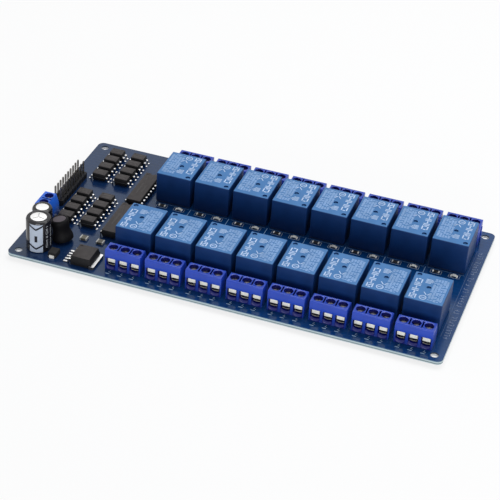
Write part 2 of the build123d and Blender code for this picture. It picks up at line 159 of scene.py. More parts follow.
def add_floor():
    """A plain pale floor that keeps a faint shadow."""
    half = floor_size / 2 * metre
    mesh = bpy.data.meshes.new("floor")
    corners = [(-half, -half), (half, -half), (half, half), (-half, half)]
    mesh.from_pydata([(x, y, floor_level * metre) for x, y in corners], [], [(0, 1, 2, 3)])
    floor = bpy.data.objects.new("floor", mesh)
    bpy.context.scene.collection.objects.link(floor)
    material = bpy.data.materials.new("floor")
    material.use_nodes = True
    tree = material.node_tree
    tree.nodes.clear()
    plain = tree.nodes.new("ShaderNodeBsdfDiffuse")
    plain.inputs["Color"].default_value = floor_colour
    glow = tree.nodes.new("ShaderNodeEmission")
    share = tree.nodes.new("ShaderNodeMath")
    share.operation = "MULTIPLY"
    share.inputs[1].default_value = floor_glow
    tree.links.new(background_rays(tree), share.inputs[0])
    mix_shaders(tree, share.outputs[0], plain, glow, "ShaderNodeOutputMaterial")
    mesh.materials.append(material)


def add_lamps():
    """A large soft lamp above and behind the board, and weaker ones at its ends and its front."""
    for name, (place, width, depth, power) in lamps.items():
        data = bpy.data.lights.new(name, "AREA")
        data.shape = "RECTANGLE"
        data.size = width * metre
        data.size_y = depth * metre
        data.energy = power
        lamp = bpy.data.objects.new(name, data)
        bpy.context.scene.collection.objects.link(lamp)
        lamp.location = Vector(place) * metre
        lamp.rotation_euler = (-Vector(place)).to_track_quat("-Z", "Y").to_euler()


bpy.context.scene.view_settings.view_transform = "Standard"
add_camera()
add_world()
add_floor()
add_lamps()

# Screw terminals, with the same sizes as the part
poles = 3
power_poles = 2
pole_pitch = 5.0
well_diameter = 3.7
well_depth = 2.8
well_centre = 3.05
groove_width = 0.6
groove_depth = 2.0
groove_length = 4.1
rib_width = 1.2
rib_proud = 0.4
rib_height = 7.0
rib_inset = 1.6
inlet_width = 3.9
inlet_sill = 1.1
inlet_height = 4.4
inlet_depth = 3.2
inlet_top = inlet_sill + inlet_height
inlet_corner = 1.55
inlet_corner_steps = 4
funnel_depth = 0.9
funnel_spread = 0.12
funnel_drop = 0.75
front_step = 0.25
terminal_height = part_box("terminal_housing_01")[1].z / metre - board_top
terminal_top_depth = 5.7
shoulder_drop = 4.2
top_edge = 0.25
power_top_depth = 5.2
housing_edge = 0.12
rib_edge = 0.1


# How fine the noise is in the clouds of a colour and in the grain of a surface
cloud_detail = 4.0
grain_detail = 2.0


class Shader:
    """A small helper that builds one procedural material."""

    def __init__(self, name):
        self.material = bpy.data.materials.new(name)
        self.material.use_nodes = True
        self.tree = self.material.node_tree
        self.tree.nodes.clear()
        self.surface = self.add("ShaderNodeBsdfPrincipled")
        out = self.add("ShaderNodeOutputMaterial")
        self.link(self.surface.outputs[0], out.inputs["Surface"])
        coordinates = self.add("ShaderNodeTexCoord").outputs
        self.where = coordinates["Object"]
        self.normal = coordinates["Normal"]

    def add(self, kind, **values):
        """A new node, with plain values on its sockets."""
        node = self.tree.nodes.new(kind)
        self.put(node, values)
        return node

    def put(self, node, values):
        """Sets plain values on a node's own sockets."""
        for name, value in values.items():
            node.inputs[name.replace("_", " ")].default_value = value

    def link(self, source, target):
        self.tree.links.new(source, target)

    def noise(self, size, detail=3.0, stretch=None):
        """Noise whose grain is about size millimetres across."""
        node = self.add("ShaderNodeTexNoise", Scale=1.0 / (size * metre), Detail=detail)
        source = self.where
        if stretch:
            mapping = self.add("ShaderNodeMapping", Scale=stretch)
            self.link(self.where, mapping.inputs["Vector"])
            source = mapping.outputs[0]
        self.link(source, node.inputs["Vector"])
        return node.outputs["Fac"]

    def cloud(self, size):
        """Soft patches of about size millimetres, for a colour that isn't quite even."""
        return self.noise(size, cloud_detail)

    def ramp(self, source, low, high, first, last):
        """Blends from the first colour to the last as the source goes from low to high."""
        node = self.add("ShaderNodeValToRGB")
        for element, position, colour in zip(node.color_ramp.elements, (low, high), (first, last)):
            element.position = position
            element.color = (*colour, 1)
        self.link(source, node.inputs["Fac"])
        return node.outputs["Color"]

    def mottled(self, cloud, colour, darker, lighter, reach=0.2):
        """A colour that a cloud makes darker in some places and lighter in others."""
        return self.ramp(cloud, 0.5 - reach, 0.5 + reach, shade(colour, darker), shade(colour, lighter))

    def ranged(self, source, low, high, first=0.0, last=1.0):
        """Goes from the first value to the last as the source goes from low to high."""
        node = self.add("ShaderNodeMapRange", From_Min=low, From_Max=high, To_Min=first, To_Max=last)
        self.link(source, node.inputs["Value"])
        return node.outputs["Result"]

    def mix(self, share, first, second):
        """Mixes two colours by a share, either of which may be a plain colour."""
        node = self.add("ShaderNodeMix")
        node.data_type = "RGBA"
        self.link(share, node.inputs["Factor"])
        for socket, value in ((node.inputs[6], first), (node.inputs[7], second)):
            if isinstance(value, tuple):
                socket.default_value = (*value, 1)
            else:
                self.link(value, socket)
        return node.outputs[2]

    def split(self, vector):
        """The X, Y and Z of a vector."""
        node = self.add("ShaderNodeSeparateXYZ")
        self.link(vector, node.inputs[0])
        return node.outputs

    def facing_up(self, low, high):
        """Goes from zero to one as the surface turns from a side to the top."""
        return self.ranged(self.split(self.normal)["Z"], low, high)

    def facing_flat(self):
        """One on faces that look straight up or down, zero on upright ones."""
        return self.math("ABSOLUTE", self.split(self.normal)["Z"])

    def along(self, axis, low, high):
        """Goes from zero to one between two places, in millimetres, of the piece's own frame."""
        return self.ranged(self.split(self.where)[axis], low * metre, high * metre)

    def places(self):
        """The three coordinates of a point, in millimetres of the piece's own frame."""
        scale = self.add("ShaderNodeVectorMath")
        scale.operation = "SCALE"
        self.put(scale, {"Scale": 1 / metre})
        self.link(self.where, scale.inputs[0])
        return self.split(scale.outputs[0])

    def outermost(self, half, low, high):
        """Goes from zero to one as a point nears the outer edge of a rectangle."""
        places = self.split(self.where)
        shares = []
        for axis, reach in zip("XY", half):
            across = self.math("ABSOLUTE", places[axis])
            shares.append(self.math("DIVIDE", across, reach * metre))
        return self.ranged(self.math("MAXIMUM", *shares), low, high)

    def math(self, operation, first, second=None):
        """One step of arithmetic on plain values."""
        node = self.add("ShaderNodeMath")
        node.operation = operation
        self.link(first, node.inputs[0])
        if isinstance(second, float):
            node.inputs[1].default_value = second
        elif second is not None:
            self.link(second, node.inputs[1])
        return node.outputs[0]

    def squared(self, value):
        return self.math("MULTIPLY", value, value)

    def below(self, value, limit):
        return self.math("LESS_THAN", value, limit)

    def above(self, value, limit):
        return self.math("GREATER_THAN", value, limit)

    def all_of(self, first, *others):
        """One where every mask is one."""
        for other in others:
            first = self.math("MULTIPLY", first, other)
        return first

    def colour(self, source):
        self.link(source, self.surface.inputs["Base Color"])

    def rough(self, size, low, high):
        """Roughness that wanders between two values, in patches of about size millimetres."""
        self.link(self.ranged(self.noise(size), 0.0, 1.0, low, high), self.surface.inputs["Roughness"])

    def bump(self, source, depth):
        """Raises the surface by up to depth millimetres."""
        node = self.add("ShaderNodeBump", Distance=depth * metre)
        self.link(source, node.inputs["Height"])
        self.link(node.outputs[0], self.surface.inputs["Normal"])

    def finished(self, patches, rough, grain, depth, **values):
        """Adds uneven gloss, a fine grain and plain values, and hands over the material."""
        self.rough(patches, *rough)
        self.bump(self.noise(grain, grain_detail), depth)
        self.put(self.surface, values)
        return self.material


def shade(colour, factor):
    """The same colour, lighter or darker."""
    return tuple(min(1.0, channel * factor) for channel in colour)


def plastic(name, colour, low_rough, high_rough, grain=0.35, depth=0.006, specular=0.5):
    """Moulded plastic: a fine grain, a faint cloud in its colour and uneven gloss."""
    shader = Shader(name)
    shader.colour(shader.mottled(shader.cloud(6.0), colour, 0.88, 1.12))
    return shader.finished(2.5, (low_rough, high_rough), grain, depth, Specular_IOR_Level=specular)


def metal(name, colour, low_rough, high_rough, grain=0.25, depth=0.004, metallic=1.0):
    """Plated metal: fine marks, uneven gloss and a slightly tarnished colour."""
    shader = Shader(name)
    shader.colour(shader.mottled(shader.cloud(1.6), colour, 0.82, 1.0, 0.25))
    return shader.finished(0.7, (low_rough, high_rough), grain, depth, Metallic=metallic)


def top_lit_metal(name, top, side, low_rough, high_rough):
    """Tinned metal with painted highlights: painted bright where it faces up and dark on its sides."""
    shader = Shader(name)
    cloud = shader.cloud(0.9)
    tops = shader.mottled(cloud, top, 0.85, 1.0, 0.25)
    sides = shader.mottled(cloud, side, 0.75, 1.25, 0.25)
    shader.colour(shader.mix(shader.facing_up(0.35, 0.85), sides, tops))
    return shader.finished(0.5, (low_rough, high_rough), 0.3, 0.004, Metallic=1.0)


def top_lit_plastic(name, top, side, low_rough, high_rough, depth):
    """Moulded plastic with painted light: its top face is painted paler and its sides darker, as light
    from above falls on them.
    """
    shader = Shader(name)
    cloud = shader.cloud(7.0)
    tops = shader.mottled(cloud, top, 0.93, 1.07)
    sides = shader.mottled(cloud, side, 0.85, 1.15)
    shader.colour(shader.mix(shader.facing_up(0.55, 0.95), sides, tops))
    return shader.finished(2.5, (low_rough, high_rough), 0.25, depth, Specular_IOR_Level=0.16)


def top_lit_moulding(name, top, side):
    """Chip moulding with painted light: its top is painted paler than its darker sides, with a fine
    grain.
    """
    shader = Shader(name)
    tops = shader.mottled(shader.cloud(2.0), top, 0.85, 1.15)
    shader.colour(shader.mix(shader.facing_up(0.8, 0.97), side, tops))
    return shader.finished(1.0, (0.6, 0.75), 0.18, 0.008, Specular_IOR_Level=0.25)


# Painted shade on the terminals: how much of each colour channel a terminal keeps in its hollows, how far
# the painted shade goes past them, and the heights over which the painted shade low down fades out
hollow_shade_share = (0.1, 0.08, 0.3)
hollow_over = 0.02
inlet_over = 0.05
inlet_mouth_over = 0.1
groove_under = 0.1
low_shade_fade = (0.5, 6.0)


def terminal_plastic(name, colour, count, low_shade_share=0.5):
    """Terminal plastic with painted shade: darker low down, and darker still in its wells, inlets and
    grooves.
    """
    shader = Shader(name)
    full = shader.mottled(shader.cloud(6.0), colour, 0.9, 1.1)
    low_shaded = shader.mix(shader.along("Z", *low_shade_fade), shade(colour, low_shade_share), full)
    x, y, z = shader.places()
    first_way = pole_pitch / 2 * ((count + 1) % 2)
    aside = shader.math("PINGPONG", shader.math("ADD", x, first_way), pole_pitch / 2)
    behind = shader.math("SUBTRACT", y, well_centre)
    away = shader.math("ABSOLUTE", behind)
    reach = shader.math("POWER", shader.math("ADD", shader.squared(aside), shader.squared(behind)), 0.5)
    well = shader.below(reach, well_diameter / 2 + hollow_over)
    inlet = shader.all_of(
        shader.below(aside, inlet_width / 2 + hollow_over),
        shader.below(z, inlet_top + inlet_over),
        shader.below(away, well_centre + inlet_mouth_over),
    )
    groove = shader.all_of(
        shader.above(aside, (pole_pitch - groove_width) / 2 - hollow_over),
        shader.below(shader.math("ABSOLUTE", x), (count - 1) * pole_pitch / 2),
        shader.below(away, groove_length / 2 + hollow_over),
        shader.below(z, terminal_height - groove_under),
    )
    hollow = shader.math("MAXIMUM", shader.math("MAXIMUM", well, inlet), groove)
    # Painted shade in the hollows: the colour with most of each channel taken out.
    deep = tuple(part * share for part, share in zip(colour, hollow_shade_share))
    shader.colour(shader.mix(hollow, low_shaded, deep))
    return shader.finished(2.5, (0.26, 0.38), 0.35, 0.004, Specular_IOR_Level=0.4)


# The board's colours: its mask, the same mask darker and greyer on the input side as painted shade, the
# layers of its cut edge, and its hole walls, white below as painted light and dark at their mouths as
# painted shade
mask_colour = (0.001, 0.032, 0.128)
input_shade_colour = (0.004, 0.019, 0.07)
fibre_colours = ((0.36, 0.44, 0.47), (0.52, 0.60, 0.62))
fibre_stretch = (1.0, 1.0, 6.0)
seam_colour = (0.13, 0.18, 0.19)
skin_colour = (0.08, 0.16, 0.24)
hole_light_and_shade = ((1.0, 1.0, 1.0), (0.01, 0.02, 0.04))
mask_tint = (0.6, 0.8, 1.0, 1.0)

# Where each layer fades into the next: along X, up from the underside, and down from the top
input_shade_fade = (-56.0, -36.0)
seam_start = (0.25, 0.45)
seam_end = (0.65, 0.8)
skin_start = (0.32, 0.22)
hole_mouth = (0.75, 0.65)
outer_edge = (0.981, 0.984)
track_pitch = 9.0
track_gap = 0.035


def board_material():
    """Blue solder mask with painted shade that makes it darker and greyer on the input side, the pale
    glass fibre of its cut outer edge, and hole walls with painted light below and painted shade at their
    mouths.
    """
    shader = Shader("solder_mask")
    cloud = shader.noise(18.0, 3.0)
    unshaded = shader.along("X", *input_shade_fade)
    open_mask = shader.mottled(cloud, mask_colour, 0.88, 1.12)
    shaded_mask = shader.mottled(cloud, input_shade_colour, 0.88, 1.12)
    # Painted shade: the mask turns darker and greyer towards the input side.
    plain = shader.mix(unshaded, shaded_mask, open_mask)
    raised = shader.mix(unshaded, shade(input_shade_colour, 1.1), shade(mask_colour, 1.1))
    tracks = shader.add("ShaderNodeTexBrick", Scale=1.0 / (track_pitch * metre), Mortar_Size=track_gap)
    shader.link(shader.where, tracks.inputs["Vector"])
    face = shader.mix(tracks.outputs["Fac"], plain, raised)
    fibre = shader.ramp(shader.noise(0.5, 3.0, fibre_stretch), 0.3, 0.7, *fibre_colours)
    rising = shader.mix(shader.along("Z", *seam_start), fibre, seam_colour)
    layers = shader.mix(shader.along("Z", *seam_end), rising, fibre)
    skin_level, mouth_level = [
        shader.along("Z", board_thickness - low, board_thickness - high)
        for low, high in (skin_start, hole_mouth)
    ]
    skin = shader.mix(skin_level, layers, skin_colour)
    # Hole walls: painted light, white low down, and painted shade, dark at the mouth.
    hole = shader.mix(mouth_level, *hole_light_and_shade)
    outside = shader.outermost((board_length / 2, board_width / 2), *outer_edge)
    shader.colour(shader.mix(shader.facing_flat(), shader.mix(outside, hole, skin), face))
    shader.rough(5.0, 0.13, 0.22)
    shader.bump(tracks.outputs["Fac"], 0.008)
    shader.put(shader.surface, {"Specular IOR Level": 0.56, "Specular Tint": mask_tint})
    return shader.material


materials = {
    "board_blue": board_material(),
    # The relay's pale top and dark sides are painted light.
    "relay_blue": top_lit_plastic(
        "relay_plastic", (0.061, 0.186, 0.422), (0.0055, 0.03, 0.12), 0.36, 0.48, 0.006
    ),
    "relay_base": plastic("relay_base_plastic", (0.01, 0.02, 0.07), 0.4, 0.55),
    # Both terminals carry painted shade low down and in their hollows, and the power terminal is darkest
    # low down.
    "terminal_violet": terminal_plastic("terminal_plastic", (0.012, 0.052, 0.42), poles),
    "terminal_blue": terminal_plastic("power_terminal_plastic", (0.012, 0.12, 0.66), power_poles, 0.25),
    "clamp_metal": metal("clamp_plating", (0.97, 0.96, 0.87), 0.26, 0.38, metallic=0.1),
    # The cage near black and the lip dim: painted shade in the inlet, on the same plated metal as the
    # bright jaw.
    "clamp_cage": plastic("cage_painted_shade", (0.008, 0.008, 0.014), 0.5, 0.65, specular=0.1),
    "clamp_lip": metal("lip_painted_shade", (0.36, 0.34, 0.3), 0.3, 0.45, metallic=0.3),
    "screw_metal": metal("screw_plating", (0.66, 0.62, 0.62), 0.16, 0.3, metallic=0.7),
    "header_black": plastic("header_plastic", (0.006, 0.006, 0.008), 0.5, 0.65, specular=0.2),
    # The pins and leads are painted bright on top and dark on their sides: painted highlights.
    "header_metal": top_lit_metal("pin_plating", (0.9, 0.88, 0.84), (0.2, 0.19, 0.18), 0.28, 0.45),
    # The chip mouldings' paler tops and darker sides are painted light.
    "chip_black": top_lit_moulding("chip_moulding", (0.045, 0.04, 0.04), (0.003, 0.003, 0.004)),
    "lead_metal": top_lit_metal("lead_tin", (0.96, 0.96, 0.96), (0.12, 0.12, 0.13), 0.3, 0.45),
    "chip_line": plastic("chip_line", (0.05, 0.05, 0.052), 0.5, 0.65),
    "chip_print": plastic("chip_print", (0.068, 0.063, 0.062), 0.6, 0.75),
    "dark_moulding": top_lit_moulding("dark_moulding", (0.012, 0.012, 0.013), (0.005, 0.005, 0.006)),
    "can_aluminium": metal("can_aluminium", (0.79, 0.79, 0.785), 0.4, 0.55),
    "sleeve_black": plastic("sleeve_film", (0.009, 0.009, 0.012), 0.1, 0.16, 1.2, 0.005, 0.4),
    "sleeve_print": plastic("sleeve_print", (0.36, 0.38, 0.41), 0.3, 0.45),
    "coil_core": plastic("ferrite", (0.085, 0.072, 0.085), 0.6, 0.75, 0.2, 0.01, 0.3),
    "coil_sleeve": plastic("shrink_tube", (0.003, 0.003, 0.004), 0.5, 0.65, 0.5, 0.01, 0.1),
    "chip_ceramic": plastic("capacitor_ceramic", (0.085, 0.08, 0.06), 0.45, 0.6),
    "chip_resistor": plastic("resistor_glaze", (0.02, 0.02, 0.022), 0.25, 0.4),
    "led_resin": plastic("led_resin", (0.74, 0.74, 0.7), 0.3, 0.45),
    "solder": metal("solder", (0.78, 0.8, 0.82), 0.2, 0.4, 0.5, 0.01),
    "chip_end": plastic("end_plating", (0.8, 0.79, 0.75), 0.35, 0.5),
    "dull_end": plastic("dull_plating", (0.44, 0.44, 0.42), 0.35, 0.5),
    # The resistor ends' bright tops and dark sides are painted light.
    "resistor_end": top_lit_plastic(
        "resistor_end", (0.8, 0.8, 0.78), (0.2, 0.2, 0.19), 0.35, 0.5, 0.004
    ),
    "stripe": plastic("sleeve_stripe", (0.40, 0.46, 0.56), 0.25, 0.35, 1.2, 0.01),
    "stripe_mark": plastic("sleeve_mark", (0.006, 0.007, 0.014), 0.25, 0.35, specular=0.2),
}
inks = {
    "relay_print": (0.46, 0.58, 0.78),
    "rating_print": (0.28, 0.43, 0.68),
    "board_print": (0.3, 0.35, 0.38),
    "contact_print": (0.34, 0.48, 0.62),
    "line_print": (0.15, 0.27, 0.45),
    "margin_print": (0.2, 0.25, 0.37),
    "margin_line": (0.03, 0.07, 0.17),
}
for ink, ink_colour in inks.items():
    materials[ink] = plastic(ink, ink_colour, 0.45, 0.6)


def dress(piece, finish):
    """Gives a piece one material."""
    piece.data.materials.clear()
    piece.data.materials.append(materials[finish])


for part in frame["record"]["subparts"]:
    dress(nodes[part["node"]], part["material_slot"])


class Form:
    """Points and faces of a piece, in millimetres."""

    def __init__(self):
        self.points = []
        self.faces = []

    def add(self, points, faces):
        start = len(self.points)
        self.points += [Vector(point) for point in points]
        self.faces += [[start + corner for corner in face] for face in faces]
        return self

    def take(self, other, place=Matrix()):
        """Adds another form, set at a place."""
        return self.add([place @ point for point in other.points], other.faces)


def repeated(form, places):
    """The same form at every place, as one."""
    whole = Form()
    for place in places:
        whole.take(form, place)
    return whole


def shift(x, y, z=0.0):
    return Matrix.Translation((x, y, z))


def turned(degrees, axis="Z"):
    return Matrix.Rotation(math.radians(degrees), 4, axis)


def centred(count, pitch):
    """Evenly spaced places about zero."""
    return [(index - (count - 1) / 2) * pitch for index in range(count)]


def loft(rings):
    """A closed body through rings with the same number of points, its two ends flat."""
    count = len(rings[0])
    points = [point for ring in rings for point in ring]
    faces = [list(range(count)), list(range(len(points) - count, len(points)))]
    for start in range(0, len(points) - count, count):
        for index in range(count):
            after = (index + 1) % count
            faces.append([start + index, start + after, start + count + after, start + count + index])
    return Form().add(points, faces)


def prism(outline, low, high, axis="Z"):
    """A closed outline drawn out along an axis, from low to high."""
    place = "XYZ".index(axis)
    return loft([[(*point[:place], level, *point[place:]) for point in outline] for level in (low, high)])


def box(low, high):
    """A block between two corners."""
    outline = [(low[0], low[1]), (high[0], low[1]), (high[0], high[1]), (low[0], high[1])]
    return prism(outline, low[2], high[2])


def ring_points(radius, steps):
    """Points on a circle."""
    angles = [2 * math.pi * step / steps for step in range(steps)]
    return [(radius * math.cos(angle), radius * math.sin(angle)) for angle in angles]


def lathe(profile, steps):
    """A closed body turned about Z from (radius, height) points; its ends lie on the axis."""
    points = [(0, 0, profile[0][1])]
    for radius, height in profile[1:-1]:
        points += [(x, y, height) for x, y in ring_points(radius, steps)]
    points.append((0, 0, profile[-1][1]))
    last_ring = 1 + (len(profile) - 3) * steps
    faces = []
    for step in range(steps):
        after = (step + 1) % steps
        faces.append([0, 1 + after, 1 + step])
        for start in range(1, last_ring, steps):
            faces.append([start + step, start + after, start + steps + after, start + steps + step])
        faces.append([last_ring + step, last_ring + after, len(points) - 1])
    return Form().add(points, faces)


# A strip keeps its thickness down to this cosine of half a turn, and a bend takes this share of a side
sharpest_turn = 0.5
bend_share = 0.45
bend_steps = 3


def ribbon(path, thickness):
    """The outline of a strip of even thickness along a path of (a, b) points."""
    left = []
    right = []
    for index, point in enumerate(path):
        before = Vector(path[max(index - 1, 0)])
        after = Vector(path[min(index + 1, len(path) - 1)])
        here = Vector(point)
        sides = []
        for start, end in ((before, here), (here, after)):
            if (end - start).length > 0:
                way = (end - start).normalized()
                sides.append(Vector((-way.y, way.x)))
        side = sum(sides, Vector((0, 0))).normalized()
        reach = thickness / 2 / max(side.dot(sides[0]), sharpest_turn)
        left.append(tuple(here + side * reach))
        right.append(tuple(here - side * reach))
    return left + right[::-1]


def bend(points, radius):
    """Rounds the inner corners of a path of (a, b) points."""
    path = [points[0]]
    for before, corner, after in zip(points, points[1:], points[2:]):
        corner = Vector(corner)
        into = Vector(before) - corner
        out = Vector(after) - corner
        reach = min(radius, into.length * bend_share, out.length * bend_share)
        start = corner + into.normalized() * reach
        end = corner + out.normalized() * reach
        for step in range(bend_steps + 1):
            share = step / bend_steps
            first = start.lerp(corner, share)
            path.append(tuple(first.lerp(corner.lerp(end, share), share)))
    path.append(points[-1])
    return path


smooth_angle = 34.0

# How far the cutters of hollows and of dimples reach past the face that they cut
cut_over = 0.5
dimple_over = 0.3


def mesh_of(name, form):
    """Makes a closed mesh in metres, with its faces turned outwards."""
    mesh = bpy.data.meshes.new(name)
    mesh.from_pydata([point * metre for point in form.points], [], form.faces)
    work = bmesh.new()
    work.from_mesh(mesh)
    bmesh.ops.recalc_face_normals(work, faces=work.faces)
    work.to_mesh(mesh)
    work.free()
    return mesh


def bake(piece):
    """Applies a piece's modifiers to its mesh."""
    view = bpy.context.evaluated_depsgraph_get()
    mesh = bpy.data.meshes.new_from_object(piece.evaluated_get(view))
    piece.modifiers.clear()
    piece.data = mesh


def round_edges(piece, width, steps=2):
    """Rounds the edges of a piece, as a mould leaves them."""
    modifier = piece.modifiers.new("edges", "BEVEL")
    modifier.width = width * metre
    modifier.segments = steps
    modifier.limit_method = "ANGLE"
    modifier.angle_limit = math.radians(smooth_angle)
    modifier.miter_outer = "MITER_ARC"


def carve(piece, cutter):
    """Cuts a form out of a piece, and hands over the tool, which goes once the cut is baked."""
    tool = bpy.data.objects.new("cutter", mesh_of("cutter", cutter))
    bpy.context.scene.collection.objects.link(tool)
    modifier = piece.modifiers.new("cut", "BOOLEAN")
    modifier.operation = "DIFFERENCE"
    modifier.solver = "EXACT"
    modifier.object = tool
    return tool


def placed(place):
    """A place in millimetres as a matrix in metres."""
    moved = place.copy()
    moved.translation = place.translation * metre
    return moved


def ride_root(piece, replaced):
    """Fixes a piece to the board and hides the nodes that it stands for."""
    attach(piece, "root")
    if replaced:
        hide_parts(*replaced)


def build(
    name, form, slot, replaced=(), finish=None, cutter=None, edges=0.0, steps=2, marks=None, place=None
):
    """Makes one piece that rides on the board: cut, its edges rounded, then marked and set at a place."""
    piece = bpy.data.objects.new(name, mesh_of(name, form))
    bpy.context.scene.collection.objects.link(piece)
    tools = []
    if cutter:
        tools.append(carve(piece, cutter))
    if edges:
        round_edges(piece, edges, steps)
    if marks:
        tools.append(carve(piece, marks))
    if piece.modifiers:
        bake(piece)
    for tool in tools:
        bpy.data.objects.remove(tool)
    piece.data.shade_smooth()
    piece.data.set_sharp_from_angle(angle=math.radians(smooth_angle))
    dress(piece, finish or slot)
    if place is not None:
        piece.matrix_world = placed(place)
    ride_root(piece, replaced)
    return piece


relays_per_row = 8
channels = range(1, 2 * relays_per_row + 1)
front_row = channels[:relays_per_row]


def numbered(name, number):
    return f"{name}_{number:02d}"


def copies(first, name, node, place_of):
    """The pieces that come after the first one, with the same mesh, each at its own place."""
    for number in channels[1:]:
        twin = bpy.data.objects.new(numbered(name, number), first.data)
        bpy.context.scene.collection.objects.link(twin)
        twin.matrix_world = placed(place_of(number))
        ride_root(twin, [numbered(node, number)])


def corners(node):
    """A node's lowest and highest corners, in millimetres."""
    low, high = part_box(node)
    return low / metre, high / metre


def relay_place(number):
    """The middle of a relay on the board's top, turned half round in the back row."""
    low, high = corners(numbered("relay", number))
    middle = (low + high) / 2
    return shift(middle.x, middle.y, board_top) @ turned(0 if number in front_row else 180)


# Screw terminals: their places and mouldings
terminal_width = poles * pole_pitch
terminal_low, terminal_high = corners("terminal_housing_01")
terminal_depth = terminal_high.y - terminal_low.y
power_low, power_high = corners("power_terminal_housing")
power_depth = power_high.x - power_low.x
round_steps = 28


def terminal_place(number):
    """The middle of a terminal's wire face on the board's top."""
    low, high = corners(numbered("terminal_housing", number))
    if number in front_row:
        return shift(low.x + rib_proud + terminal_width / 2, low.y, board_top)
    return shift(high.x - rib_proud - terminal_width / 2, high.y, board_top) @ turned(180)


def power_place():
    """The middle of the power terminal's wire face, which looks along -X."""
    middle = power_low.y + power_poles * pole_pitch / 2
    return shift(power_low.x, middle, board_top) @ turned(-90)


def housing_form(count, top_depth, depth):
    """The housing without its wells and inlets, its wire face on y = 0."""
    half = count * pole_pitch / 2
    outline = [
        (front_step, 0),
        (front_step, inlet_top - front_step),
        (0, inlet_top),
        (0, terminal_height - top_edge),
        (top_edge, terminal_height),
        (top_depth, terminal_height),
        (depth, terminal_height - shoulder_drop),
        (depth, 0),
    ]
    return prism(outline, -half, half, "X")


def inlet_form():
    """The hollow of one inlet: a funnel whose bottom corners are rounded, then a straight box."""
    rings = []
    for depth, share in ((-cut_over, 1), (front_step, 1), (funnel_depth, 0), (inlet_depth, 0)):
        half = inlet_width / 2 - funnel_spread * (1 - share)
        middle = inlet_sill - funnel_drop * share + inlet_corner
        ring = [(-half, depth, inlet_top)]
        for side, start in ((-1, math.pi), (1, 1.5 * math.pi)):
            for step in range(inlet_corner_steps + 1):
                angle = start + step * math.pi / 2 / inlet_corner_steps
                across = side * (half - inlet_corner) + inlet_corner * math.cos(angle)
                ring.append((across, depth, middle + inlet_corner * math.sin(angle)))
        ring.append((half, depth, inlet_top))
        rings.append(ring)
    return loft(rings)


def housing_hollows(count):
    """The wells, inlets and grooves of one housing."""
    over = terminal_height + cut_over
    well = prism(ring_points(well_diameter / 2, round_steps), terminal_height - well_depth, over)
    half = groove_length / 2
    groove = box(
        (-groove_width / 2, well_centre - half, terminal_height - groove_depth),
        (groove_width / 2, well_centre + half, over),
    )
    hollows = Form()
    for x in centred(count, pole_pitch):
        hollows.take(well, shift(x, well_centre)).take(inlet_form(), shift(x, 0))
    for x in centred(count - 1, pole_pitch):
        hollows.take(groove, shift(x, 0))
    return hollows


def rib_form(count):
    """The rib on the left end, which keys a housing to its neighbour."""
    half = count * pole_pitch / 2
    return box((-half - rib_proud, rib_inset, 0), (-half, rib_inset + rib_width, rib_height))


def terminal_housings():
    """All the housings: one moulding for the relays' terminals and one for the power terminal."""
    first = build(
        "terminal_moulding_01",
        housing_form(poles, terminal_top_depth, terminal_depth),
        "terminal_violet",
        ["terminal_housing_01"],
        cutter=housing_hollows(poles),
        edges=housing_edge,
        place=terminal_place(1),
    )
    copies(first, "terminal_moulding", "terminal_housing", terminal_place)
    ribs = repeated(rib_form(poles), map(terminal_place, channels))
    build("terminal_ribs", ribs, "terminal_violet", edges=rib_edge)
    build(
        "power_terminal_moulding",
        housing_form(power_poles, power_top_depth, power_depth),
        "terminal_blue",
        ["power_terminal_housing"],
        cutter=housing_hollows(power_poles),
        edges=housing_edge,
        place=power_place(),
    )
    power_rib = repeated(rib_form(power_poles), [power_place()])
    build("power_terminal_rib", power_rib, "terminal_blue", edges=rib_edge)


def terminal_ways():
    """The place of every way of every terminal: the middle of its inlet's mouth."""
    middles = centred(poles, pole_pitch)
    places = [terminal_place(number) @ shift(x, 0) for number in channels for x in middles]
    return places + [power_place() @ shift(x, 0) for x in centred(power_poles, pole_pitch)]


# Clamps and screws in the terminals
clamp_width = 3.1
clamp_setback = 1.0
jaw_height = 2.3
jaw_depth = 0.8
jaw_low = inlet_top - jaw_height
jaw_back = clamp_setback + jaw_depth
jaw_slot = 0.8
jaw_edge = 0.08
lip_inset = 0.1
lip_thickness = 0.22
lip_sag = 0.25
lip_depth = 0.15
lip_steps = 8
cage_inset = 0.05
cage_rise = 0.3
cage_depth = 1.5
cage_gap = 0.02
screw_diameter = 3.4
screw_head = 1.2
screw_low = terminal_height - well_depth
screw_top = screw_low + screw_head
slot_width = 0.55
slot_depth = 0.5
slot_seed = 5

# How far in and how far down each point of a screw's rim lies
screw_rim = ((0.0, 0.35), (0.1, 0.15), (0.35, 0.0))


def jaw_form():
    """The bright face of one clamp, which hangs from the roof of its inlet."""
    half = clamp_width / 2
    return box((-half, clamp_setback, jaw_low), (half, jaw_back, inlet_top))


def lip_form():
    """The curved front edge of the cage, below the slot that takes the wire."""
    half = clamp_width / 2 - lip_inset
    level = jaw_low - jaw_slot - lip_thickness / 2
    shares = [-1 + 2 * step / lip_steps for step in range(lip_steps + 1)]
    path = [(half * share, level - lip_sag * (1 - share * share)) for share in shares]
    start = clamp_setback + lip_depth
    return prism(ribbon(path, lip_thickness), start, start + lip_depth, "Y")


def cage_form():
    """The body of the cage behind the jaw and the lip, whose near-black finish is painted shade in the
    back of the inlet.
    """
    half = clamp_width / 2 - cage_inset
    back = inlet_depth - cage_gap
    below = box((-half, inlet_depth - cage_depth, inlet_sill + cage_rise), (half, back, jaw_low))
    return below.take(box((-half, jaw_back, jaw_low), (half, back, inlet_top)))


def screw_form():
    """One screw head with a rounded rim; it seats on the floor of the well."""
    radius = screw_diameter / 2
    rim = [(radius - inward, screw_top - down) for inward, down in screw_rim]
    return lathe([(0, screw_low), (radius, screw_low), *rim, (0, screw_top)], round_steps)


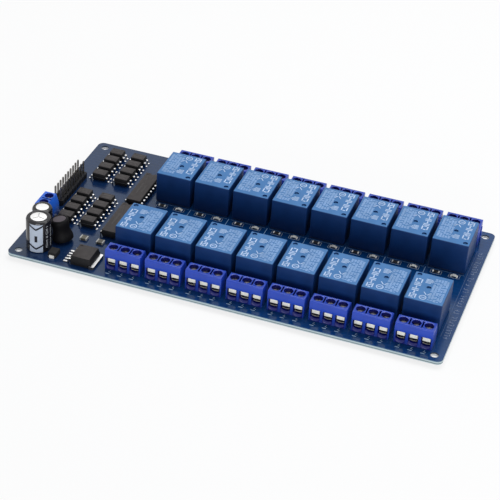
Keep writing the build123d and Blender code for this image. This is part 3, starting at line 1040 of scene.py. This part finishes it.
def slot_form(turn):
    """The cutter of one screw's slot, turned by some degrees."""
    reach = screw_diameter / 2 + cut_over
    half = slot_width / 2
    slot = box((-reach, -half, screw_top - slot_depth), (reach, half, screw_top + cut_over))
    return repeated(slot, [turned(turn)])


def terminal_metal():
    """All the clamps and all the screws, each slot a little turned."""
    ways = terminal_ways()
    wells = [way @ shift(0, well_centre) for way in ways]
    chance = random.Random(slot_seed)
    slots = Form()
    for well in wells:
        slots.take(slot_form(chance.uniform(0, 180)), well)
    build("clamp_jaws", repeated(jaw_form(), ways), "clamp_metal", ["terminal_clamps"], edges=jaw_edge)
    build("clamp_lips", repeated(lip_form(), ways), "clamp_metal", finish="clamp_lip")
    build("clamp_cages", repeated(cage_form(), ways), "clamp_metal", finish="clamp_cage")
    build("clamp_screws", repeated(screw_form(), wells), "screw_metal", ["terminal_screws"], cutter=slots)


# Relay covers: rounded edges, a pip in one corner and a gate mark
cover_edge = 0.4
cover_edge_steps = 3
pip_place = (-5.75, 7.85)
pip_radius = 1.0
gate_place = (-0.2, 0.4)
gate_radius = 0.95
dimple_depth = 0.6
dimple_taper = 0.85
dimple_steps = 20
relay_low, relay_high = corners("relay_01")
relay_width = relay_high.x - relay_low.x
relay_length = relay_high.y - relay_low.y
relay_top = relay_high.z - board_top
relay_under = relay_low.z - board_top


def relay_covers():
    """All the covers, from one moulding."""
    half = Vector((relay_width / 2, relay_length / 2))
    cover = box((-half.x, -half.y, relay_under), (half.x, half.y, relay_top))
    marks = Form()
    for place, radius in ((pip_place, pip_radius), (gate_place, gate_radius)):
        floor = (radius * dimple_taper, -dimple_depth)
        dimple = [(0, -dimple_depth), floor, (radius, 0), (radius, dimple_over), (0, dimple_over)]
        marks.take(lathe(dimple, dimple_steps), shift(*place, relay_top))
    first = build(
        "relay_cover_01",
        cover,
        "relay_blue",
        ["relay_01"],
        edges=cover_edge,
        steps=cover_edge_steps,
        marks=marks,
        place=relay_place(1),
    )
    copies(first, "relay_cover", "relay", relay_place)


# Print: its thickness, how far it sinks into its face, and how its strokes vary in gap and length
print_height = 0.02
print_sink = 0.005
stroke_share = 0.84
stroke_lengths = (0.6, 1.0)
corner_gap = 1.6
ring_steps = 20


def bar(start, end, width, low, height=print_height):
    """A printed line between two points, as a thin block."""
    start, end = Vector(start), Vector(end)
    way = (end - start).normalized() * width / 2
    side = Vector((-way.y, way.x))
    outline = [start - way + side, start - way - side, end + way - side, end + way + side]
    return prism(outline, low, low + height)


def bars(lines, width, low):
    """Several printed lines of one width, each given as its start and its end."""
    form = Form()
    for start, end in lines:
        form.take(bar(start, end, width, low))
    return form


def frame_lines(low_corner, high_corner, width, low):
    """A printed rectangle, with small gaps at its corners."""
    (x0, y0), (x1, y1) = low_corner, high_corner
    inset = width / 2
    gap = corner_gap * width
    upright = [((x, y0 + inset), (x, y1 - inset)) for x in (x0, x1)]
    level = [((x0 + gap, y), (x1 - gap, y)) for y in (y0, y1)]
    return bars(upright + level, width, low)


def ring_line(centre, radius, width, low):
    """A printed circle."""
    loops = [ring_points(radius + side * width / 2, ring_steps) for side in (1, -1)]
    points = []
    for level in (low, low + print_height):
        for loop in loops:
            points += [(centre[0] + x, centre[1] + y, level) for x, y in loop]
    faces = []
    for step in range(ring_steps):
        after = (step + 1) % ring_steps
        for first, second in ((0, 2), (1, 3), (0, 1), (2, 3)):
            start, other = first * ring_steps, second * ring_steps
            faces.append([start + step, start + after, other + after, other + step])
    return Form().add(points, faces)


# The print on a relay, as places from its middle: a diagram, the symbols beside it, and rating bars
diagram_left = -5.95
diagram_right = -3.75
diagram_middle = (diagram_left + diagram_right) / 2
diagram_line = 0.5
coil_frame = (-8.3, -5.6)
coil_slash = ((diagram_left + 0.65, -7.45), (diagram_right - 0.65, -6.45))
load_frame = (2.3, 4.8)
diagram_stems = ((-4.8, -4.0), (-1.4, -0.5))
diagram_levels = (-3.2, -2.2, 0.4, 1.4)
mark_line = 0.34
symbol_ring = (-0.9, -6.8)
symbol_radius = 1.3
symbol_lines = (((-1.6, -6.8), (-0.2, -6.8)), ((-1.2, -3.2), (-0.1, -4.6)), ((0.5, -4.6), (1.3, -3.2)))
block_start = (-2.2, 3.3)
block_pitch = 0.8
block_lengths = (1.9, 2.6, 2.9, 2.2)
rating_columns = (1.5, 2.65, 3.8, 4.95, 6.1)
rating_reach = (-8.1, 7.2)
rating_start = 1.2
rating_halves = (0.24, 0.4)
rating_line = 0.3
rating_pitch = 0.56
rating_gap = 2
rating_seed = 11


def contact_diagram(low):
    """A generic wiring diagram in one column: a coil, two open contacts and a load."""
    left, middle, right = diagram_left, diagram_middle, diagram_right
    first, second = [((middle, start), (middle, end)) for start, end in diagram_stems]
    levels = [((left, y), (right, y)) for y in diagram_levels]
    form = frame_lines((left, coil_frame[0]), (right, coil_frame[1]), diagram_line, low)
    form.take(bars([coil_slash, first, *levels, second], diagram_line, low))
    return form.take(frame_lines((left, load_frame[0]), (right, load_frame[1]), diagram_line, low))


def contact_symbols(low):
    """The symbols in the middle: a terminal circle, an open contact and a ruled block."""
    lines = list(symbol_lines)
    left, start = block_start
    for index, length in enumerate(block_lengths):
        y = start + index * block_pitch
        lines.append(((left, y), (left + length, y)))
    return ring_line(symbol_ring, symbol_radius, mark_line, low).take(bars(lines, mark_line, low))


def rating_bars(low):
    """Rows of small upright bars where small print would be."""
    chance = random.Random(rating_seed)
    lines = []
    start, end = rating_reach
    for x in rating_columns:
        y = start + chance.uniform(0, rating_start)
        while y < end:
            half = chance.uniform(*rating_halves)
            lines.append(((x - half, y), (x + half, y)))
            y += rating_pitch * (1 if chance.random() < stroke_share else rating_gap)
    return bars(lines, rating_line, low)


def relay_prints():
    """The print on all the relays, the diagram brighter than the small bars."""
    low = relay_top - print_sink
    diagram = contact_diagram(low).take(contact_symbols(low))
    places = [relay_place(number) for number in channels]
    build("relay_diagrams", repeated(diagram, places), "relay_blue", finish="relay_print")
    build("relay_ratings", repeated(rating_bars(low), places), "relay_blue", finish="rating_print")


# Optocouplers and driver chips; a round cut has a radius, a depth, its cutter's reach above, and steps
opto_length = 6.0
opto_width = 4.4
opto_pitch = 6.2
opto_rows = 4
opto_draft = 0.3
opto_edge = 0.05
opto_lead_pitch = 2.54
opto_lead_width = 0.9
opto_lead_thickness = 0.24
opto_lead_bend = 0.3
opto_foot = 0.7
opto_knee = 0.65
opto_dot = (0.35, 0.1, 0.2, 14)
opto_dot_inset = 0.9
driver_length = 22.9
driver_pins = 9
driver_pitch = 2.54
driver_draft = 0.25
driver_edge = 0.1
driver_lead_thickness = 0.25
driver_lead_bend = 0.35
driver_lead_width = 0.6
driver_shoulder_width = 1.1
driver_shoulder_drop = 0.6
driver_shoulder_lap = 0.05
driver_notch = (0.8, 0.5, 0.5, 20)
driver_notch_inset = 0.1
driver_dot = (0.45, 0.12, 0.3, 16)
driver_dot_inset = (1.3, 1.6)
lead_root = 0.05
draft_shares = (1.6, 0.0, 0.6)
parting_proud = 0.03
parting_height = 0.14

# Rows of strokes on the chips: where each starts and how many it has
chip_stroke = 0.8
chip_stroke_line = 0.15
chip_stroke_pitch = 0.48
opto_marks = ((-1.3, 0.75, 6), (-1.6, -0.8, 7))
opto_seed = 3
driver_marks = ((-5.5, 0.9, 18), (-4.0, -0.9, 13))
driver_seed = 4


def opto_places(low, high):
    """The middle of each optocoupler, on the board's top."""
    columns = (low.x + opto_length / 2, high.x - opto_length / 2)
    first = low.y + opto_width / 2
    last = high.y - opto_width / 2
    rows = [first + index * opto_pitch for index in range(opto_rows)]
    rows += [last - index * opto_pitch for index in range(opto_rows)]
    return [shift(x, y, board_top) for x in columns for y in rows]


def moulded_chip(length, width, low, high, draft):
    """A chip body that narrows from its parting line to its top and to its underside."""
    rings = []
    for z, share in zip((low, (low + high) / 2, high), draft_shares):
        x = length / 2 - draft * share
        y = width / 2 - draft * share
        rings.append([(-x, -y, z), (x, -y, z), (x, y, z), (-x, y, z)])
    return loft(rings)


def parting_line(length, width, low, high):
    """The thin raised line round a chip where the halves of its mould met."""
    x, y = length / 2 + parting_proud, width / 2 + parting_proud
    middle = (low + high) / 2
    return box((-x, -y, middle - parting_height / 2), (x, y, middle + parting_height / 2))


def round_cut(radius, depth, over, steps):
    """The cutter of a round hollow in a face on z = 0."""
    return lathe([(0, -depth), (radius, -depth), (radius, over), (0, over)], steps)


def stroke_rows(rows, low, seed):
    """Faint rows of upright strokes on a chip, each row given as (x, y, count)."""
    chance = random.Random(seed)
    lines = []
    for x, y, count in rows:
        for index in range(count):
            across = x + index * chip_stroke_pitch
            half = chip_stroke * chance.uniform(*stroke_lengths) / 2
            lines.append(((across, y - half), (across, y + half)))
    return bars(lines, chip_stroke_line, low)


def leads_of(lead, places, count, pitch):
    """The leads on both sides of every chip."""
    form = Form()
    for place in places:
        for y in centred(count, pitch):
            for side in (0, 180):
                form.take(lead, place @ turned(side) @ shift(0, y))
    return form


def optocouplers():
    """The sixteen bodies, each with its pin dot, and their formed leads."""
    body_low, body_high = corners("optocouplers")
    leads_low, leads_high = corners("optocoupler_leads")
    places = opto_places(body_low, body_high)
    low = body_low.z - board_top
    high = body_high.z - board_top
    root = opto_length / 2
    end = root + (leads_high.x - leads_low.x - (body_high.x - body_low.x)) / 2
    foot = opto_lead_thickness / 2
    knee = (low + high) / 2 - foot
    path = [(root - lead_root, knee), (root + opto_knee, knee), (end - opto_foot, foot), (end, foot)]
    outline = ribbon(bend(path, opto_lead_bend), opto_lead_thickness)
    lead = prism(outline, -opto_lead_width / 2, opto_lead_width / 2, "Y")
    body = moulded_chip(opto_length, opto_width, low, high, opto_draft)
    line = parting_line(opto_length, opto_width, low, high)
    marks = stroke_rows(opto_marks, high - print_sink, opto_seed)
    corner = shift(opto_dot_inset - root, opto_width / 2 - opto_dot_inset, high)
    dots = repeated(round_cut(*opto_dot), [place @ corner for place in places])
    leads = leads_of(lead, places, 2, opto_lead_pitch)
    bodies = repeated(body, places)
    build("optocoupler_bodies", bodies, "chip_black", ["optocouplers"], cutter=dots, edges=opto_edge)
    build("optocoupler_lines", repeated(line, places), "chip_black", finish="chip_line")
    build("optocoupler_marks", repeated(marks, places), "chip_black", finish="chip_print")
    build("optocoupler_legs", leads, "lead_metal", ["optocoupler_leads"])


def driver_lead(root, end, middle):
    """A lead of a driver chip, drawn wide at its shoulder and narrow below it."""
    path = [(root - lead_root, middle), (end, middle), (end, 0.0)]
    outline = ribbon(bend(path, driver_lead_bend), driver_lead_thickness)
    shoulder = middle - driver_shoulder_drop
    neck = shoulder + driver_shoulder_lap
    wide = driver_shoulder_width / 2
    narrow = driver_lead_width / 2
    lead = prism([(x, max(z, shoulder)) for x, z in outline], -wide, wide, "Y")
    return lead.take(prism([(x, max(min(z, neck), 0.0)) for x, z in outline], -narrow, narrow, "Y"))


def driver_chips():
    """The two driver chips with their end notches, and their leads with wide shoulders."""
    body_low, body_high = corners("driver_chips")
    leads_high = corners("driver_chip_leads")[1]
    low = body_low.z - board_top
    high = body_high.z - board_top
    width = body_high.x - body_low.x
    half = driver_length / 2
    middle = (body_low.x + body_high.x) / 2
    places = [shift(middle, y, board_top) for y in (body_low.y + half, body_high.y - half)]
    end = width / 2 + leads_high.x - body_high.x - driver_lead_thickness / 2
    lead = driver_lead(width / 2, end, (low + high) / 2)
    across, back = driver_dot_inset
    cuts = Form()
    for place in places:
        cuts.take(round_cut(*driver_notch), place @ shift(0, half - driver_notch_inset, high))
        cuts.take(round_cut(*driver_dot), place @ shift(across - width / 2, half - back, high))
    body = moulded_chip(width, driver_length, low, high, driver_draft)
    marks = stroke_rows(driver_marks, high - print_sink, driver_seed)
    bodies = repeated(body, places)
    build("driver_bodies", bodies, "chip_black", ["driver_chips"], cutter=cuts, edges=driver_edge)
    prints = repeated(marks, [place @ turned(90) for place in places])
    build("driver_marks", prints, "chip_black", finish="chip_print")
    leads = leads_of(lead, places, driver_pins, driver_pitch)
    build("driver_legs", leads, "lead_metal", ["driver_chip_leads"])


# Capacitors; a rim's points are given as how far in and how far down, or up, they lie
lathe_steps = 72
sleeve_shoulder = 0.8
sleeve_low = 0.02
sleeve_foot = 0.25
sleeve_rim = ((0.0, 0.95), (0.04, 0.75), (0.28, 0.25), (0.48, 0.06), (0.75, 0.0))
lip_share = 0.65
lip_roll = (0.15, 0.08)
disc_drop = 0.25
disc_under = 0.2
disc_over = 0.07
disc_rim = ((0.02, -disc_under), (0.02, 0.04), (0.25, disc_over))
score_width = 0.26
score_depth = 0.1
score_share = 0.75
score_angles = (90, 210, 330)
score_turn = 20
film_thickness = 0.03
film_over = 0.02
stripe_share = 0.35
stripe_foot = 0.35
stripe_gap = 0.25
chevron = 0.85
chevron_rise = 1.7
chevron_low = 3.3
chevron_drop = 1.0
minus_width = 1.15
minus_share = 0.46
minus_reach = (1.4, 1.5)
band_steps = 12
minus_steps = 4

# Strokes beside the stripe: how far round each column lies, its width and its stroke
sleeve_columns = ((52, 1.3, 0.26), (78, 0.8, 0.2), (180, 1.5, 0.3))
column_start = 0.14
column_drop = 1.2
column_lengths = (0.55, 1.0)
column_share = 0.8
column_pitch = 2.2
column_gap = 4.5
column_seed = 7
stripe_bearings = (("large", -78.0), ("small", -150.0))


def can_profiles(radius, height):
    """The outlines of a capacitor's sleeve and of the can's end inside it."""
    lip = radius * lip_share
    floor = height - disc_drop
    sleeve = [(0, sleeve_low), (radius - sleeve_foot, sleeve_low), (radius, sleeve_foot)]
    sleeve += [(radius - inward, height - down) for inward, down in sleeve_rim]
    sleeve += [(lip + lip_roll[0], height), (lip, height - lip_roll[1]), (lip, floor), (0, floor)]
    disc = [(lip - inward, floor + up) for inward, up in disc_rim]
    return sleeve, [(0, floor - disc_under), *disc, (0, floor + disc_over)]


def wrapped(outline, radius, bearing):
    """A flat outline of (across, up) points, laid round a cylinder at a bearing in degrees."""
    points = []
    for reach in (radius, radius + film_thickness):
        for across, up in outline:
            angle = math.radians(bearing) + across / radius
            points.append((reach * math.cos(angle), reach * math.sin(angle), up))
    count = len(outline)
    faces = []
    for base in (0, count):
        for index in range(count // 2 - 1):
            mirror = count - 1 - index
            faces.append([base + index, base + index + 1, base + mirror - 1, base + mirror])
    for index in range(count):
        after = (index + 1) % count
        faces.append([index, after, count + after, count + index])
    return Form().add(points, faces)


def band(low, high, width, sag=0.0, steps=band_steps):
    """The outline of a band between two heights, its middle lower than its ends by the sag."""
    shares = [-1 + 2 * step / steps for step in range(steps + 1)]
    edges = []
    for level in (low, high):
        edges.append([(share * width / 2, level - sag * (1 - abs(share))) for share in shares])
    return edges[0] + edges[1][::-1]


def can_marks(radius, height, bearing):
    """The pale stripe of one can, the dark chevrons and minus bar on it, and strokes beside it."""
    width = math.pi * radius * stripe_share
    top = height - sleeve_shoulder - stripe_gap
    stripe = wrapped(band(stripe_foot, top, width), radius, bearing)
    over = radius + film_over
    dark = Form()
    for start in (top - chevron_drop, chevron_low):
        dark.take(wrapped(band(start, start + chevron, width, chevron_rise), over, bearing))
    middle = height * minus_share
    down, up = minus_reach
    dark.take(wrapped(band(middle - down, middle + up, minus_width, steps=minus_steps), over, bearing))
    pale = Form()
    chance = random.Random(column_seed)
    for turn, reach, tall in sleeve_columns:
        up = height * column_start
        while up < top - column_drop:
            half = reach * chance.uniform(*column_lengths) / 2
            mark = [(-half, up), (half, up), (half, up + tall), (-half, up + tall)]
            pale.take(wrapped(mark, radius, bearing + turn))
            up += tall * (column_pitch if chance.random() < column_share else column_gap)
    return stripe, dark, pale


def vent_score(radius, top):
    """The cutter of the vent score: three short arms in the end of the large can."""
    form = Form()
    for angle in score_angles:
        way = Vector((math.cos(math.radians(angle)), math.sin(math.radians(angle))))
        reach = radius * lip_share * score_share
        form.take(bar(way * score_width, way * reach, score_width, top - score_depth, cut_over))
    return repeated(form, [turned(score_turn)])


def capacitors():
    """Both capacitors: sleeve, can end with its vent score on the large one, stripe and marks."""
    for size, bearing in stripe_bearings:
        name = f"capacitor_{size}"
        low, high = corners(f"{name}_sleeve")
        radius = (high.x - low.x) / 2
        height = high.z - board_top
        places = [shift((low.x + high.x) / 2, (low.y + high.y) / 2, board_top)]
        sleeve, disc = [lathe(profile, lathe_steps) for profile in can_profiles(radius, height)]
        score = None
        if size == "large":
            score = repeated(vent_score(radius, height - disc_drop + disc_over), places)
        build(f"{name}_film", repeated(sleeve, places), "sleeve_black", [f"{name}_sleeve"])
        build(f"{name}_end", repeated(disc, places), "can_aluminium", [f"{name}_can"], cutter=score)
        finishes = {"stripe": "stripe", "marks": "stripe_mark", "print": "sleeve_print"}
        for form, (ending, finish) in zip(can_marks(radius, height, bearing), finishes.items()):
            build(f"{name}_{ending}", repeated(form, places), "sleeve_black", finish=finish)


# The inductor, whose outlines are given as (radius, height) points
coil_foot_radius = 4.4
coil_lean = 10.0
coil_sleeve_outline = (
    (0, 0.0), (4.1, 0.0), (4.38, 0.3), (4.4, 1.2), (4.25, 2.0), (3.95, 2.8),
    (3.66, 3.6), (3.5, 4.6), (3.55, 6.0), (3.72, 7.2), (3.74, 7.9), (3.66, 8.6),
    (3.4, 9.1), (3.1, 9.29), (2.78, 9.29), (2.7, 9.2), (2.7, 9.1), (0, 9.1),
)
coil_core_outline = ((0, 8.8), (2.66, 8.8), (2.66, 9.12), (2.5, 9.16), (0, 9.16))


def inductor():
    """The leaning drum: a shrunk sleeve with a soft waist, and the flat end of its core."""
    legs_low, legs_high = corners("inductor_legs")
    middle = (legs_low + legs_high) / 2
    foot = shift(middle.x - coil_foot_radius, middle.y, board_top)
    places = [foot @ turned(-coil_lean, "Y") @ shift(coil_foot_radius, 0)]
    sleeve = repeated(lathe(coil_sleeve_outline, lathe_steps), places)
    core = repeated(lathe(coil_core_outline, lathe_steps), places)
    build("inductor_tube", sleeve, "coil_sleeve", ["inductor_sleeve"])
    build("inductor_end", core, "coil_core", ["inductor_core"])


# The regulator's moulding: each level, how far its sides lie in, and how far it bulges over the tab
regulator_levels = ((0.0, 0.1, 0.0), (1.25, 0.05, 0.55), (2.0, 0.0, 0.55))
regulator_draft = 0.25
regulator_edge = 0.12
regulator_dimple = ((0, -0.25), (0.5, -0.2), (0.55, dimple_over), (0, dimple_over))
regulator_dimple_inset = (1.4, 1.3)
regulator_dimple_steps = 18

# CAD pieces that are shown as they are, with rounded edges, and the finishes of some of them
edges_of = {
    "regulator_frame": 0.06,
    "diode_leads": 0.06,
    "header_base": 0.06,
    "chip_capacitors": 0.06,
    "chip_capacitor_ends": 0.06,
    "diode_body": 0.1,
}
finish_of = {"diode_body": "dark_moulding", "diode_leads": "chip_end", "chip_capacitor_ends": "dull_end"}


def regulator():
    """The regulator's moulding, with its dimple."""
    low, high = corners("regulator_body")
    half_x = (high.x - low.x) / 2
    half_y = (high.y - low.y) / 2
    height = high.z - board_top
    rings = []
    for z, inset, bulge in (*regulator_levels, (height, regulator_draft, 0.0)):
        x = half_x - inset
        y = half_y - inset
        rings.append([(-x, -y, z), (x + bulge, -y, z), (x + bulge, y, z), (-x, y, z)])
    place = shift((low.x + high.x) / 2, (low.y + high.y) / 2, board_top)
    across, back = regulator_dimple_inset
    dimple = lathe(regulator_dimple, regulator_dimple_steps)
    cut = repeated(dimple, [place @ shift(across - half_x, half_y - back, height)])
    body = repeated(loft(rings), [place])
    build("regulator_moulding", body, "chip_black", ["regulator_body"], cutter=cut, edges=regulator_edge)


def plain_parts():
    """Rounded edges and finishes for the CAD pieces that are shown as they are."""
    for name, width in edges_of.items():
        round_edges(nodes[name], width)
    for name, finish in finish_of.items():
        dress(nodes[name], finish)


# Chip parts of the channels: a resistor and a lamp each
chip_length = 3.0
chip_width = 1.5
chip_end = 0.55
chip_half = chip_length / 2
chip_side = chip_width / 2
chip_offset = {"channel_resistors": -3.7, "channel_leds": 3.9}
resistor_lift = 0.02
resistor_height = 0.5
resistor_end_height = 0.47
resistor_edge = 0.05
lamp_base_height = 0.35
lamp_end_height = 0.33
lens_height = 0.8
lens_foot = 0.5
lens_top = 0.85
lens_inset = 0.1
lens_edge = 0.12
chip_end_edge = 0.06


def chip_places(node):
    """The middle of each channel's chip of one kind: its row's side and its channel."""
    low, high = corners(node)
    places = []
    for number in channels:
        relay = relay_place(number).translation
        if number in front_row:
            places.append(shift(relay.x - chip_offset[node], low.y + chip_side, board_top))
        else:
            places.append(shift(relay.x + chip_offset[node], high.y - chip_side, board_top))
    return places


def chip_body(low, high):
    """The middle of a chip part, between its metal ends."""
    reach = chip_half - chip_end
    return box((-reach, -chip_side, low), (reach, chip_side, high))


def chip_ends(height):
    """The two metal ends of a chip part."""
    end = box((-chip_end / 2, -chip_side, 0), (chip_end / 2, chip_side, height))
    return repeated(end, [shift(side * (chip_half - chip_end / 2), 0) for side in (-1, 1)])


def channel_chips():
    """The resistors and lamps of the channels, with metal ends."""
    resistors = chip_places("channel_resistors")
    lamp_places = chip_places("channel_leds")
    bodies = repeated(chip_body(resistor_lift, resistor_height), resistors)
    bases = repeated(chip_body(0.0, lamp_base_height), lamp_places)
    foot, top = chip_half - lens_foot, chip_half - lens_top
    base, crown = lamp_base_height, lens_height
    outline = [(-foot, base), (-top, crown), (top, crown), (foot, base)]
    lens = prism(outline, lens_inset - chip_side, chip_side - lens_inset, "Y")
    lamp_ends = repeated(chip_ends(lamp_end_height), lamp_places)
    resistor_ends = repeated(chip_ends(resistor_end_height), resistors)
    build("resistor_bodies", bodies, "chip_resistor", ["channel_resistors"], edges=resistor_edge)
    build("lamp_lenses", repeated(lens, lamp_places), "led_resin", ["channel_leds"], edges=lens_edge)
    build("lamp_bases", bases, "led_resin", finish="chip_resistor")
    build("chip_part_ends", lamp_ends, "lead_metal", finish="chip_end", edges=chip_end_edge)
    build("resistor_ends", resistor_ends, "lead_metal", finish="resistor_end", edges=chip_end_edge)


# Solder joints below the board: the cone's points as shares of its radius, and how far down they lie
joint_radius = 0.95
joint_steps = 14
joint_cone = ((1.0, 0), (0.9, 0.12), (0.62, 0.36), (0.42, 0.7))
joint_neck = 1.0
lead_radius = 0.3
lead_end = (0.08, 0.06)
same_point = 1e-6


def joint_form(height):
    """A soft cone of solder round a trimmed lead, its tip pointing down."""
    cone = [(joint_radius * share, -down) for share, down in joint_cone]
    inward, up = lead_end
    lead = [(lead_radius, -joint_neck), (lead_radius, up - height), (lead_radius - inward, -height)]
    return lathe([(0, 0), *cone, *lead, (0, -height)], joint_steps)


def islands(node):
    """The middle of each separate solid of a node, in millimetres."""
    work = bmesh.new()
    work.from_mesh(nodes[node].data)
    bmesh.ops.remove_doubles(work, verts=work.verts, dist=same_point)
    seen = set()
    middles = []
    for vert in work.verts:
        if vert in seen:
            continue
        group = []
        stack = [vert]
        seen.add(vert)
        while stack:
            here = stack.pop()
            group.append(here.co / metre)
            for edge in here.link_edges:
                other = edge.other_vert(here)
                if other not in seen:
                    seen.add(other)
                    stack.append(other)
        low = Vector([min(values) for values in zip(*group)])
        high = Vector([max(values) for values in zip(*group)])
        middles.append((low + high) / 2)
    work.free()
    return middles


def solder_joints():
    """All the joints, each where its node has one."""
    for node, name in (("terminal_joints", "outer_solder"), ("inner_joints", "inner_solder")):
        one = joint_form(-corners(node)[0].z)
        places = [shift(middle.x, middle.y) for middle in islands(node)]
        build(name, repeated(one, places), "solder", [node])


# Print on the board: outlines and dividers, marks in front of the inlets, and the right margin
silk_line = 0.17
thin_line = 0.16
divider_line = 0.26
divider_length = 6.4
divider_gap = 0.5
outline_gap = 0.6
end_line_gap = 1.0
chip_frame_gap = (0.75, 0.45)
contact_hook = ((0.3, -0.5), (-0.2, -1.3), (0.7, -1.6))
contact_bar = ((-0.9, -2.5), (0.4, -2.5))
contact_bar_line = 0.34
margin_x = 87.7
margin_reach = 32.0
margin_stroke = 2.0
margin_pitch = 1.8
margin_gap = 1.8
margin_sides = (0.0, 0.5, 0.95)
margin_tick = (0.25, 0.8)
margin_seed = 9


def contact_mark(low):
    """A small hook and a short bar in front of one wire inlet."""
    hook = bars(zip(contact_hook, contact_hook[1:]), silk_line, low)
    return hook.take(bar(*contact_bar, contact_bar_line, low))


def board_lines(low):
    """The dividers between the channels and the lines beside the relays."""
    middles = [relay_place(number).translation.x for number in front_row]
    half_pitch = (middles[1] - middles[0]) / 2
    strip = relay_place(relays_per_row + 1).translation.y - relay_length / 2
    dividers = []
    outlines = []
    for x in middles[1:]:
        divider = x - half_pitch
        for side in (-1, 1):
            start, end = side * (strip - divider_length), side * (strip - divider_gap)
            dividers.append(((divider, start), (divider, end)))
    for side in (-1, 1):
        for x in middles:
            y = side * (strip - outline_gap)
            outlines.append(((x - relay_width / 2, y), (x + relay_width / 2, y)))
    last = middles[-1] + relay_width / 2 + end_line_gap
    reach = strip + relay_length
    lines = bars(dividers, divider_line, low).take(bars(outlines, thin_line, low))
    return lines, bar((last, -reach), (last, reach), silk_line, low)


def margin_marks(low):
    """A faint line of plain strokes along the right margin, with gaps, in place of the print there."""
    chance = random.Random(margin_seed)
    lines = []
    start = margin_x - margin_stroke / 2
    y = -margin_reach
    while y < margin_reach:
        end = start + margin_stroke * chance.uniform(*stroke_lengths)
        lines.append(((start, y), (end, y)))
        aside = start + margin_stroke * chance.choice(margin_sides)
        lines.append(((aside, y + margin_tick[0]), (aside, y + margin_tick[1])))
        y += margin_pitch * (1 if chance.random() < stroke_share else margin_gap)
    return bars(lines, silk_line, low)


def board_prints():
    """Outlines, dividers and short marks on the board, none of them lettering."""
    low = board_top - print_sink
    lines, end_line = board_lines(low)
    frames = Form()
    wide, deep = chip_half + chip_frame_gap[0], chip_side + chip_frame_gap[1]
    for node in chip_offset:
        for place in chip_places(node):
            x, y = place.translation.x, place.translation.y
            frames.take(frame_lines((x - wide, y - deep), (x + wide, y + deep), thin_line, low))
    mark = contact_mark(low - board_top)
    marks = repeated(mark, terminal_ways()[: -power_poles])
    build("board_lines", lines, "board_blue", finish="line_print")
    build("board_prints", frames, "board_blue", finish="board_print")
    build("contact_marks", marks, "board_blue", finish="contact_print")
    build("margin_marks", margin_marks(low), "board_blue", finish="margin_print")
    build("margin_line", end_line, "board_blue", finish="margin_line")


relay_covers()
relay_prints()
terminal_housings()
terminal_metal()
optocouplers()
driver_chips()
capacitors()
inductor()
regulator()
plain_parts()
channel_chips()
solder_joints()
board_prints()
